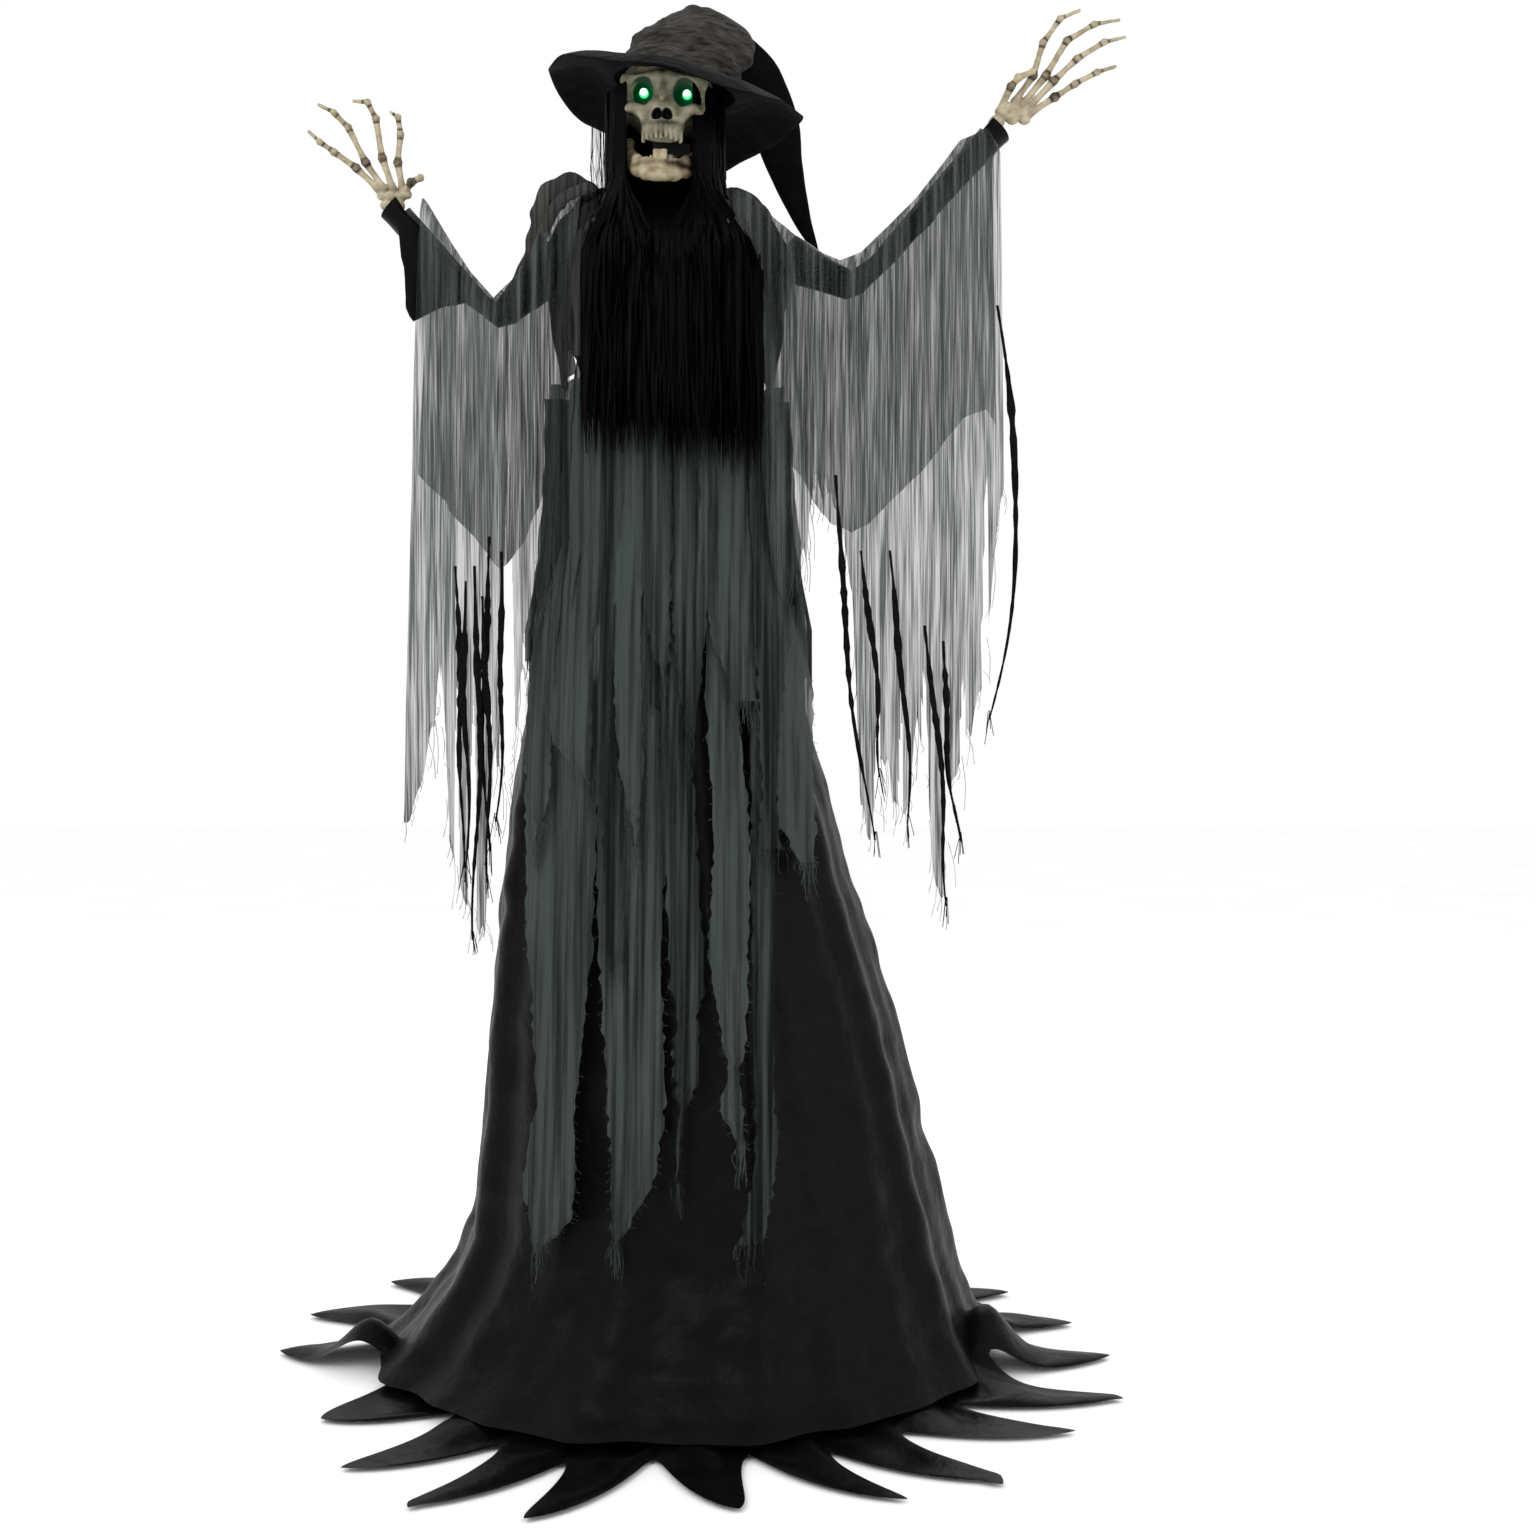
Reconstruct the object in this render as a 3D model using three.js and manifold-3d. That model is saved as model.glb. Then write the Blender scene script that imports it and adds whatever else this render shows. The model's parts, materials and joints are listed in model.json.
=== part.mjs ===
// A life-size animated skeletal witch figure. Millimetres, +Z up, origin on the floor under the pole.
// The figure faces -Y. Left and right are as seen from the front, so left is -X.
import * as THREE from "three";
import { mergeVertices } from "three/addons/utils/BufferGeometryUtils.js";
import Module from "manifold-3d";

const wasm = await Module();
wasm.setup();

// ---------- driving dimensions ----------
const GAP = 0.35; // between pieces that touch

const BASE = { reach: 280, tube: 25, capLength: 6, socketRadius: 15.5, socketTop: 92, flange: 90 };
const POLE = { radius: 12.5, wall: 1.5, plug: 60, tops: [620, 1120, 1488] };
const SNAP = { radius: 3, inner: 4, outer: 14.5 };
const HIP = { z: 850, radius: 168, rod: 5 };
const BOX = { width: 130, depth: 62, height: 150, y: 52, z: 930, wall: 3 };
const CONTROLS = { side: 5, high: 50, low: 20, bore: 5.4 };
const CELL = { radius: 7.1, pitch: 17 };
const SHOULDER = { x: 126, z: 1540, bar: 22, depth: 24, bolt: 4 };
const ARM_TUBE = 8;
const SLEEVE = { inner: 22, outer: 29 };
const HEAD = { z: 1573, roll: THREE.MathUtils.degToRad(3) };
const NECK = { foot: 1529, flange: 80 };
const JAW_AXIS = { y: 8, z: 96, radius: 4 };
const EYE = { x: 32.5, z: 146 };
const HAT = { z: 1765, y: 12, tilt: THREE.MathUtils.degToRad(10), inner: 84, brim: 178, oval: 1.14 };

// Dress outline: height, left edge, right edge, half depth.
const DRESS = [
  [14, -318, 412, 372],
  [190, -280, 394, 322],
  [475, -258, 322, 262],
  [650, -240, 264, 226],
  [850, -213, 208, 188],
  [1000, -168, 168, 148],
  [1120, -128, 128, 106],
  [1300, -128, 128, 106],
  [1450, -108, 108, 90],
  [1505, -92, 92, 78],
];

// Points of the floor train, all round: direction in degrees from +X, reach from the origin.
const HEM_TIPS = [
  [15, 578], [32, 560], [50, 585], [68, 560], [86, 590], [104, 565], [122, 585], [141, 560], [161, 565],
  [183, 548], [215, 514], [235, 577], [250, 620], [261, 604], [277, 569], [292, 605], [302, 630],
  [321, 599], [334, 620], [353, 598],
];
const TRAIN = { inner: 318, valley: 0.72, thickness: 9 };

// Arms: shoulder, elbow and wrist of each, and how the hand points.
const ARMS = {
  left: {
    shoulder: new THREE.Vector3(-126, -18, 1540),
    elbow: new THREE.Vector3(-223, -50, 1420),
    wrist: new THREE.Vector3(-358, -80, 1571),
    cuff: [[-365, 1560], [-335, 1552], [-317, 1400], [-345, 1367], [-400, 1450], [-392, 1532]],
  },
  right: {
    shoulder: new THREE.Vector3(126, -18, 1540),
    elbow: new THREE.Vector3(251, -50, 1462),
    wrist: new THREE.Vector3(439, -80, 1678),
    cuff: [[440, 1670], [416, 1655], [412, 1592], [440, 1586], [480, 1604], [474, 1636]],
  },
};

// Bones of each hand as points of x and z, from the palm outwards. Each row is one finger.
const HANDS = {
  left: {
    palm: [-367, 1583],
    fingers: [
      [[-386, 1591], [-414, 1617], [-442, 1636], [-460, 1648], [-473, 1660]],
      [[-378, 1591], [-401, 1624], [-423, 1669], [-441, 1687], [-460, 1696]],
      [[-366, 1591], [-379, 1630], [-386, 1681], [-396, 1701], [-413, 1701]],
      [[-353, 1591], [-358, 1624], [-353, 1660], [-355, 1681], [-364, 1686]],
    ],
    thumb: [[-356, 1587], [-338, 1596], [-326, 1601]],
  },
  right: {
    palm: [468, 1694],
    fingers: [
      [[471, 1708], [495, 1741], [507, 1782], [529, 1812], [554, 1822]],
      [[482, 1705], [512, 1741], [539, 1785], [575, 1805], [607, 1809]],
      [[490, 1700], [523, 1734], [553, 1761], [588, 1781], [615, 1786]],
      [[491, 1692], [524, 1712], [550, 1727], [579, 1741], [602, 1747]],
    ],
    thumb: [[450, 1694], [464, 1723], [474, 1735], [493, 1743]],
  },
};
const HAND = {
  depths: [-85, -92, -100, -106, -110],
  thumbDepth: -102,
  palmReach: 24, // half the palm's width: it turns clear of the cuff
  socketFoot: -34,
  socketTop: 16,
};
const BONE = { knuckle: 5.6, taper: 0.7, slim: 0.7 };

// ---------- geometry helpers ----------
const vec = (x, y, z) => new THREE.Vector3(x, y, z);

/** A closed mesh with shared corners merged and flat triangles dropped. */
function welded(geometry) {
  const bare = geometry.clone();
  bare.deleteAttribute("normal");
  bare.deleteAttribute("uv");
  const merged = mergeVertices(bare, 1e-4);
  const corners = merged.index.array;
  const kept = [];
  for (let i = 0; i < corners.length; i += 3) {
    const [a, b, c] = [corners[i], corners[i + 1], corners[i + 2]];
    if (a !== b && b !== c && c !== a) kept.push(a, b, c);
  }
  merged.setIndex(kept);
  return merged;
}

function toSolid(geometry) {
  const closed = welded(geometry);
  return new wasm.Manifold(
    new wasm.Mesh({
      numProp: 3,
      vertProperties: new Float32Array(closed.attributes.position.array),
      triVerts: new Uint32Array(closed.index.array),
    }),
  );
}

function toGeometry(solid) {
  const mesh = solid.getMesh();
  const geometry = new THREE.BufferGeometry();
  geometry.setAttribute("position", new THREE.BufferAttribute(mesh.vertProperties, 3));
  geometry.setIndex(new THREE.BufferAttribute(mesh.triVerts, 1));
  geometry.computeVertexNormals();
  return geometry;
}

const joined = (...pieces) => pieces.map(toSolid).reduce((whole, piece) => whole.add(piece));

const cutFrom = (whole, ...pieces) =>
  pieces.map(toSolid).reduce((left, piece) => left.subtract(piece), whole);

/** Flips the faces of a closed index list if they point inwards. */
function facingOut(position, index) {
  let volume = 0;
  const at = (i) => vec(position[3 * i], position[3 * i + 1], position[3 * i + 2]);
  for (let i = 0; i < index.length; i += 3) {
    volume += at(index[i]).dot(at(index[i + 1]).cross(at(index[i + 2])));
  }
  if (volume < 0) index.reverse();
  const geometry = new THREE.BufferGeometry();
  geometry.setAttribute("position", new THREE.Float32BufferAttribute(position, 3));
  geometry.setIndex(index);
  return geometry;
}

/** A closed skin through rings of equally many points, capped at both ends. */
function loft(rings) {
  const n = rings[0].length;
  const position = rings.flat().flatMap((p) => [p.x, p.y, p.z]);
  const index = [];
  for (let r = 0; r < rings.length - 1; r++) {
    for (let i = 0; i < n; i++) {
      const a = r * n + i;
      const b = r * n + ((i + 1) % n);
      index.push(a, b, b + n, a, b + n, a + n);
    }
  }
  const last = (rings.length - 1) * n;
  for (let i = 1; i < n - 1; i++) {
    index.push(0, i + 1, i);
    index.push(last, last + i, last + i + 1);
  }
  return facingOut(position, index);
}

/** A closed slab between two grids of points of the same size. */
function slab(outer, inner) {
  const rows = outer.length;
  const cols = outer[0].length;
  const position = [...outer.flat(), ...inner.flat()].flatMap((p) => [p.x, p.y, p.z]);
  const far = rows * cols;
  const index = [];
  const quad = (a, b, c, d) => index.push(a, b, c, a, c, d);
  for (let r = 0; r < rows - 1; r++) {
    for (let c = 0; c < cols - 1; c++) {
      const a = r * cols + c;
      quad(a, a + 1, a + cols + 1, a + cols);
      quad(far + a, far + a + cols, far + a + cols + 1, far + a + 1);
    }
  }
  for (let c = 0; c < cols - 1; c++) {
    const top = (rows - 1) * cols + c;
    quad(c + 1, c, far + c, far + c + 1);
    quad(top, top + 1, far + top + 1, far + top);
  }
  for (let r = 0; r < rows - 1; r++) {
    const start = r * cols;
    const end = start + cols - 1;
    quad(start, start + cols, far + start + cols, far + start);
    quad(end + cols, end, far + end, far + end + cols);
  }
  return facingOut(position, index);
}

function box(width, depth, height, x = 0, y = 0, z = 0) {
  return new THREE.BoxGeometry(width, depth, height).translate(x, y, z);
}

/** A cylinder between two points. */
function rod(from, to, radius, endRadius = radius, sides = 16) {
  const along = to.clone().sub(from);
  const geometry = new THREE.CylinderGeometry(endRadius, radius, along.length(), sides);
  const turn = new THREE.Quaternion().setFromUnitVectors(vec(0, 1, 0), along.clone().normalize());
  const middle = from.clone().addScaledVector(along, 0.5);
  return geometry.applyQuaternion(turn).translate(middle.x, middle.y, middle.z);
}

function ball(x, y, z, rx, ry, rz, sides = 20) {
  return new THREE.SphereGeometry(1, sides, Math.round(sides * 0.6)).scale(rx, ry, rz).translate(x, y, z);
}

/** A body of revolution about Z, from (radius, height) pairs. */
function turned(profile, sides = 20) {
  const points = profile.map(([r, z]) => new THREE.Vector2(r, z));
  return new THREE.LatheGeometry(points, sides).rotateX(Math.PI / 2);
}

/** A hollow pipe about Z. */
const pipe = (outer, inner, low, high, sides = 20) =>
  turned([[inner, low], [outer, low], [outer, high], [inner, high], [inner, low]], sides);

/** A flat piece standing in the XZ plane, from its outline, with its front at a given y. */
function upright(outline, front, thickness) {
  const shape = new THREE.Shape(outline.map(([x, z]) => new THREE.Vector2(x, z)));
  const options = { depth: thickness, bevelEnabled: false };
  return new THREE.ExtrudeGeometry(shape, options).rotateX(Math.PI / 2).translate(0, front + thickness, 0);
}

/** A round section carried along a curve. */
function along(curve, radius, steps, sides = 10) {
  const shape = new THREE.Shape().absarc(0, 0, radius, 0, 2 * Math.PI);
  const options = { steps, curveSegments: sides, bevelEnabled: false, extrudePath: curve };
  return new THREE.ExtrudeGeometry(shape, options);
}

// ---------- scene graph ----------
const figure = new THREE.Group();
const finishes = {
  steel: { color: 0x23242a, roughness: 0.45, metalness: 0.8 },
  zinc: { color: 0xa8abad, roughness: 0.35, metalness: 1 },
  plastic: { color: 0x1c1c1e, roughness: 0.6, metalness: 0 },
  bone: { color: 0xb3a78c, roughness: 0.7, metalness: 0 },
  satin: { color: 0x0d0d10, roughness: 0.45, metalness: 0 },
  gauze: { color: 0x6b6e66, roughness: 0.95, metalness: 0 },
  hair: { color: 0x14110f, roughness: 0.5, metalness: 0 },
  lamp: { color: 0x39ff6a, roughness: 0.2, metalness: 0 },
  board: { color: 0x1f5a34, roughness: 0.6, metalness: 0 },
  battery: { color: 0x4b4e52, roughness: 0.4, metalness: 0.3 },
};

function add(name, geometry, finish, parent = figure) {
  const material = new THREE.MeshStandardMaterial(finishes[finish]);
  const mesh = new THREE.Mesh(geometry, material);
  mesh.name = name;
  parent.add(mesh);
  return mesh;
}

// ---------- stand and pole ----------
function buildStand() {
  const half = BASE.tube / 2;
  const long = 2 * BASE.reach;
  const bore = BASE.tube - 4;
  const notch = BASE.tube + 2 * GAP;
  const across = cutFrom(
    joined(box(long, BASE.tube, BASE.tube, 0, 0, half)),
    box(long + 2, bore, bore, 0, 0, half),
    box(notch, notch, half + 1, 0, 0, half + (half + 1) / 2),
  );
  const deep = cutFrom(
    joined(box(BASE.tube, long, BASE.tube, 0, 0, half)),
    box(bore, long + 2, bore, 0, 0, half),
    box(notch, notch, half + 1, 0, 0, half / 2 + GAP - 0.5),
  );
  add("base_tube_across", toGeometry(across), "steel");
  add("base_tube_deep", toGeometry(deep), "steel");
  const names = ["right", "rear", "left", "front"];
  names.forEach((name, i) => {
    const start = BASE.reach + GAP;
    const end = start + BASE.capLength;
    const cap = joined(
      box(BASE.capLength, BASE.tube, BASE.tube, (start + end) / 2, 0, half),
      box(12, bore - 1, bore - 1, start - 5.5, 0, half),
    );
    add(`base_cap_${name}`, toGeometry(cap), "plastic").rotation.z = (i * Math.PI) / 2;
  });
  const floorOfSocket = BASE.tube + GAP;
  const socket = cutFrom(
    joined(
      box(BASE.flange, BASE.flange, 4, 0, 0, floorOfSocket + 2),
      pipe(BASE.socketRadius, POLE.radius + GAP, floorOfSocket + 1, BASE.socketTop),
    ),
  );
  add("pole_socket", toGeometry(socket), "steel");
}

/** One pole length, with a reduced lower end if it plugs into another. */
function poleLength(low, high, plugged) {
  const { radius, wall, plug } = POLE;
  const bore = radius - wall;
  if (!plugged) return pipe(radius, bore, low, high);
  const neck = bore - GAP;
  const neckBore = neck - wall;
  return turned([
    [neckBore, low - plug], [neck, low - plug], [neck, low], [radius, low],
    [radius, high], [bore, high], [bore, low + 6], [neckBore, low], [neckBore, low - plug],
  ]);
}

function buildPole() {
  const [first, second, third] = POLE.tops;
  const lengths = [
    ["lower_pole", BASE.tube + 2 * GAP + 4, first, false],
    ["middle_pole", first + GAP, second, true],
    ["upper_pole", second + GAP, third, true],
  ];
  const buttonHoles = [first, second].map((top) => {
    const z = top - POLE.plug / 2;
    return rod(vec(0, 2, z), vec(0, POLE.radius + 3, z), SNAP.radius + GAP);
  });
  lengths.forEach(([name, low, high, plugged]) => {
    const whole = cutFrom(toSolid(poleLength(low, high, plugged)), ...buttonHoles);
    add(name, toGeometry(whole), "steel");
  });
  [["snap_button_lower", first], ["snap_button_upper", second]].forEach(([name, top]) => {
    const z = top - POLE.plug / 2;
    const pin = rod(vec(0, SNAP.inner, z), vec(0, SNAP.outer - 1, z), SNAP.radius);
    const dome = ball(0, SNAP.outer - 1.2, z, SNAP.radius - 0.1, 1.6, SNAP.radius - 0.1, 12);
    add(name, toGeometry(joined(pin, dome)), "zinc");
  });
}

function buildHipRing() {
  const { z, radius, rod: thick } = HIP;
  const ring = new THREE.TorusGeometry(radius, thick, 6, 28).translate(0, 0, z);
  const spokes = [0, 1, 2].map((i) => {
    const turn = -Math.PI / 2 + (i * 2 * Math.PI) / 3;
    const far = vec(Math.cos(turn) * radius, Math.sin(turn) * radius, z);
    const near = vec(Math.cos(turn) * 15, Math.sin(turn) * 15, z);
    return rod(near, far, 4, 4, 6);
  });
  const collar = pipe(18, POLE.radius + GAP, z - 14, z + 14);
  add("hip_ring", toGeometry(joined(ring, collar, ...spokes)), "steel");
}

// ---------- torso ----------
/** The dress outline at a height: centre, half width and half depth. */
function dressAt(z) {
  const reached = DRESS.findIndex(([height]) => height >= z);
  const above = reached < 0 ? DRESS.length - 1 : Math.max(1, reached);
  const [low, high] = [DRESS[above - 1], DRESS[above]];
  const part = THREE.MathUtils.clamp((z - low[0]) / (high[0] - low[0]), 0, 1);
  const [, left, right, depth] = low.map((value, i) => THREE.MathUtils.lerp(value, high[i], part));
  return { centre: (left + right) / 2, width: (right - left) / 2, depth };
}

/** A point on the dress, at a direction in degrees from +X and a distance off the cloth. */
function onDress(degrees, z, off) {
  const { centre, width, depth } = dressAt(z);
  const turn = THREE.MathUtils.degToRad(degrees);
  return vec(centre + (width + off) * Math.cos(turn), (depth + off) * Math.sin(turn), z);
}

const spread = (from, to, count) =>
  Array.from({ length: count + 1 }, (_, i) => THREE.MathUtils.lerp(from, to, i / count));

/** A curved cloth panel standing off the dress. */
function panel(from, to, heights, off, thickness, cols) {
  const grid = (distance) =>
    heights.map((z) => spread(from, to, cols).map((degrees) => onDress(degrees, z, distance)));
  return slab(grid(off + thickness), grid(off));
}

function buildTorso() {
  const heights = [1010, 1120, 1300, 1450, 1484];
  [["torso_form_rear", 1], ["torso_form_front", 181]].forEach(([name, start]) => {
    add(name, panel(start, start + 178, heights, -14, 4, 12), "plastic");
  });
  const { x, z, bar, depth, bolt } = SHOULDER;
  const whole = cutFrom(
    joined(box(2 * x + 22, depth, bar, 0, 0, z)),
    rod(vec(0, 0, z - bar), vec(0, 0, z + bar), 9 + GAP, 9 + GAP, 24),
    ...[-x, x].map((at) => rod(vec(at, -depth, z), vec(at, depth, z), bolt + GAP)),
  );
  add("shoulder_bar", toGeometry(whole), "steel");
  ["left", "right"].forEach((side) => {
    const at = side === "left" ? -x : x;
    const shank = rod(vec(at, -25, z), vec(at, 18, z), bolt);
    const head = rod(vec(at, -30, z), vec(at, -24.5, z), 7.5, 7.5, 6);
    const nut = rod(vec(at, 13, z), vec(at, 19, z), 7.5, 7.5, 6);
    add(`shoulder_bolt_${side}`, toGeometry(joined(shank, head, nut)), "zinc");
  });
  const motor = cutFrom(
    joined(box(46, 46, 26, 0, 0, 1502.5), rod(vec(0, 0, 1515), vec(0, 0, 1528.4), 12, 12, 20)),
    rod(vec(0, 0, 1512), vec(0, 0, 1530), 8 + GAP, 8 + GAP, 20),
  );
  add("head_motor", toGeometry(motor), "plastic");
}

// ---------- control box ----------
function buildControlBox() {
  const { width, depth, height, y, z, wall } = BOX;
  const { side, high, low, bore } = CONTROLS;
  const front = y - depth / 2;
  const rear = y + depth / 2;
  const wide = width / 2;
  const row = y - 8;
  const batteryZ = z - 38;
  const speakerZ = z + 40;
  const clampY = 19;
  const sideways = (from, to, at, radius, sides = 16) =>
    rod(vec(from, row, at), vec(to, row, at), radius, radius, sides);

  const tray = cutFrom(
    joined(box(width, depth - 6, height, 0, y - 3, z), box(40, 12, 40, 0, clampY, z)),
    box(width - 2 * wall, depth, height - 2 * wall, 0, y + wall, z),
    rod(vec(0, 0, z - 40), vec(0, 0, z + 40), POLE.radius + GAP, POLE.radius + GAP, 24),
    sideways(-wide - side, -wide + 15, z + high, bore),
    box(20, 9, 14, wide, row, z + high),
    sideways(wide - 15, wide + side, z + low, bore),
  );
  add("control_box", toGeometry(tray), "plastic");

  const vents = [-1, 0, 1].flatMap((column) =>
    [-1, 0, 1].map((line) => {
      const [x, at] = [column * 12, speakerZ + line * 10];
      return rod(vec(x, rear - 10, at), vec(x, rear + 5, at), 3.2, 3.2, 8);
    }));
  const cover = cutFrom(
    joined(box(width, 5.4, height, 0, rear - 2.7, z)),
    box(66, 20, 56, 0, rear, batteryZ),
    ...vents,
  );
  add("control_box_cover", toGeometry(cover), "plastic");

  const doorPlate = box(74, 2.4, 64, 0, rear + 1.6, batteryZ);
  const doorGrip = box(40, 2, 4, 0, rear + 3.4, batteryZ + 22);
  add("battery_door", toGeometry(joined(doorPlate, doorGrip)), "plastic");

  [-1, 0, 1].forEach((place, count) => {
    const x = place * CELL.pitch;
    const cellY = rear - 14;
    const can = rod(vec(x, cellY, batteryZ - 25), vec(x, cellY, batteryZ + 24), CELL.radius);
    const nub = rod(vec(x, cellY, batteryZ + 23), vec(x, cellY, batteryZ + 25.4), 2.6, 2.6, 10);
    add(`battery_${count + 1}`, toGeometry(joined(can, nub)), "battery");
  });

  add("circuit_board", box(96, 1.6, 60, 0, front + 12, z - 20), "board");

  const cone = [[0, 0], [18, 0], [18, 8], [27, 18], [27, 21], [22, 21], [12, 12], [0, 12], [0, 0]];
  const speaker = turned(cone, 20).rotateX(-Math.PI / 2).translate(0, rear - 27.5, speakerZ);
  add("speaker", speaker, "plastic");

  const inlet = cutFrom(
    joined(
      sideways(-wide + 8, -wide - 2, z + high, 5),
      sideways(-wide - 1, -wide - 3, z + high, 7, 20),
    ),
    sideways(-wide + 5, -wide - 5, z + high, 3.2),
  );
  add("power_inlet", toGeometry(inlet), "plastic");

  const lever = box(9, 6, 5, wide + 1, row, z + high);
  const slider = box(2, 8, 13, wide - 4.5, row, z + high);
  add("selector_switch", toGeometry(joined(lever, slider)), "plastic");

  const button = sideways(wide - 8, wide + 3, z + low, 5);
  const buttonRim = sideways(wide - 8, wide - 5.5, z + low, 7);
  add("try_me_button", toGeometry(joined(button, buttonRim)), "plastic");
}

// ---------- head ----------
/** The rounded bone shape of the skull, solid, without its openings. */
function skullForm() {
  const cheek = (side) => ball(side * 40, -46, 122, 25, 36, 15, 14);
  return joined(
    ball(0, 12, 165, 72, 88, 62, 20),
    cheek(-1),
    cheek(1),
    ball(0, -54, 104, 35, 36, 24, 14),
    rod(vec(-46, -46, 163), vec(0, -66, 166), 9, 10, 10),
    rod(vec(46, -46, 163), vec(0, -66, 166), 9, 10, 10),
    ball(0, -76, 132, 11, 14, 26, 14),
  );
}

/** A row of teeth on an arch, each a small block. */
function teeth(count, halfWidth, front, top, size) {
  return spread(-1, 1, count - 1).map((part) => {
    const x = part * halfWidth;
    const y = front + 22 * part * part;
    const middle = part * part < 0.05;
    const tall = size + (middle ? 2 : 0);
    return new THREE.BoxGeometry(5.4, 5.6, tall).rotateZ(part * 0.7).translate(x, y, top - tall / 2);
  });
}

function buildSkull(head) {
  const whole = cutFrom(
    skullForm().add(joined(...teeth(8, 25, -84, 94, 13))),
    ball(-EYE.x, -84, EYE.z, 19, 44, 17, 14),
    ball(EYE.x, -84, EYE.z, 19, 44, 17, 14),
    ball(-5, -90, 117, 7, 22, 12, 8),
    ball(5, -90, 117, 7, 22, 12, 8),
    ball(0, 12, 165, 67, 83, 57, 16),
    rod(vec(0, 18, 60), vec(0, 18, 130), 34, 34, 16),
  );
  const keep = (y) => whole.intersect(toSolid(box(300, 200, 400, 0, y, 150)));
  add("skull_front", toGeometry(keep(-100 + 6)), "bone", head);
  add("skull_rear", toGeometry(keep(100 + 6 + GAP)), "bone", head);
  [["eye_lamp_left", -1], ["eye_lamp_right", 1]].forEach(([name, side]) => {
    const x = side * EYE.x;
    const lamp = joined(
      rod(vec(x, -66, EYE.z), vec(x, -40, EYE.z), 6.8),
      ball(x, -66, EYE.z, 6.7, 6, 6.7, 14),
    );
    add(name, toGeometry(lamp), "lamp", head);
  });
  const motor = cutFrom(
    joined(box(52, 34, 17, 0, 10, JAW_AXIS.z - 1)),
    rod(vec(-40, JAW_AXIS.y, JAW_AXIS.z), vec(-16, JAW_AXIS.y, JAW_AXIS.z), 4.4),
    rod(vec(16, JAW_AXIS.y, JAW_AXIS.z), vec(40, JAW_AXIS.y, JAW_AXIS.z), 4.4),
  );
  add("jaw_motor", toGeometry(motor), "plastic", head);
  const shaft = joined(
    rod(vec(0, 0, NECK.foot), vec(0, 0, HEAD.z + NECK.flange), 8, 8, 20),
    rod(vec(0, 0, HEAD.z + NECK.flange - 4), vec(0, 0, HEAD.z + NECK.flange + 2), 24, 24, 20),
  );
  add("neck_shaft", toGeometry(shaft), "zinc");
}

function buildJaw(head) {
  const arch = new THREE.Shape();
  arch.moveTo(-50, 10);
  arch.bezierCurveTo(-49, -60, -34, -90, 0, -90);
  arch.bezierCurveTo(34, -90, 49, -60, 50, 10);
  arch.lineTo(41, 10);
  arch.bezierCurveTo(40, -50, 26, -76, 0, -76);
  arch.bezierCurveTo(-26, -76, -40, -50, -41, 10);
  arch.closePath();
  const body = new THREE.ExtrudeGeometry(arch, { depth: 24, curveSegments: 8, bevelEnabled: false });
  const ramus = (side) => {
    const outline = new THREE.Shape();
    outline.moveTo(-22, 24);
    outline.lineTo(14, 34);
    outline.lineTo(16, 100);
    outline.lineTo(0, 103);
    outline.lineTo(-12, 80);
    outline.lineTo(-22, 52);
    outline.closePath();
    const plate = new THREE.ExtrudeGeometry(outline, { depth: 8, bevelEnabled: false });
    return plate.rotateX(Math.PI / 2).rotateZ(Math.PI / 2).translate(side < 0 ? -50 : 42, 0, 0);
  };
  const whole = joined(
    body.translate(0, 0, 24),
    ramus(-1),
    ramus(1),
    ball(0, -82, 34, 18, 9, 12, 14),
    rod(vec(-44, JAW_AXIS.y, JAW_AXIS.z), vec(-20, JAW_AXIS.y, JAW_AXIS.z), JAW_AXIS.radius),
    rod(vec(44, JAW_AXIS.y, JAW_AXIS.z), vec(20, JAW_AXIS.y, JAW_AXIS.z), JAW_AXIS.radius),
    ...teeth(8, 25, -83, 58, 12),
  );
  add("jaw", toGeometry(whole), "bone", head);
}

function buildHat(head) {
  const hat = new THREE.Group();
  hat.position.set(0, HAT.y, HAT.z - HEAD.z);
  hat.rotation.y = HAT.tilt - HEAD.roll;
  head.add(hat);
  const { inner, brim, oval } = HAT;
  add("hat_brim", turned([
    [inner, -1.5], [130, -4], [brim, -9], [brim, -6], [130, -1], [inner, 1.5], [inner, -1.5],
  ], 30).scale(1, oval, 1), "satin", hat);
  add("hat_crown", turned([
    [inner + 1, 2.5], [inner - 1, 24], [inner - 8, 48], [60, 72], [28, 86], [0, 91],
    [0, 86], [26, 81], [56, 68], [inner - 12, 46], [inner - 5, 24], [inner - 3, 2.5], [inner + 1, 2.5],
  ], 22).scale(1, oval, 1), "gauze", hat);
  const fold = new THREE.CatmullRomCurve3([
    vec(82, 88, 227), vec(122, 122, 217), vec(158, 154, 191),
    vec(176, 168, 127), vec(186, 168, 62), vec(198, 160, 1),
  ]);
  const radii = [16, 20, 18, 20, 16, 5];
  const rings = radii.map((radius, i) => {
    const at = fold.getPoint(i / (radii.length - 1));
    const way = fold.getTangent(i / (radii.length - 1));
    const side = vec(0, 1, 0).cross(way).normalize();
    const other = way.clone().cross(side).normalize();
    return spread(0, 2 * Math.PI, 12).slice(1).map((turn) =>
      at.clone()
        .addScaledVector(side, radius * Math.cos(turn))
        .addScaledVector(other, radius * 0.6 * Math.sin(turn)));
  });
  add("hat_tail", loft(rings), "satin", head);
}

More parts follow.
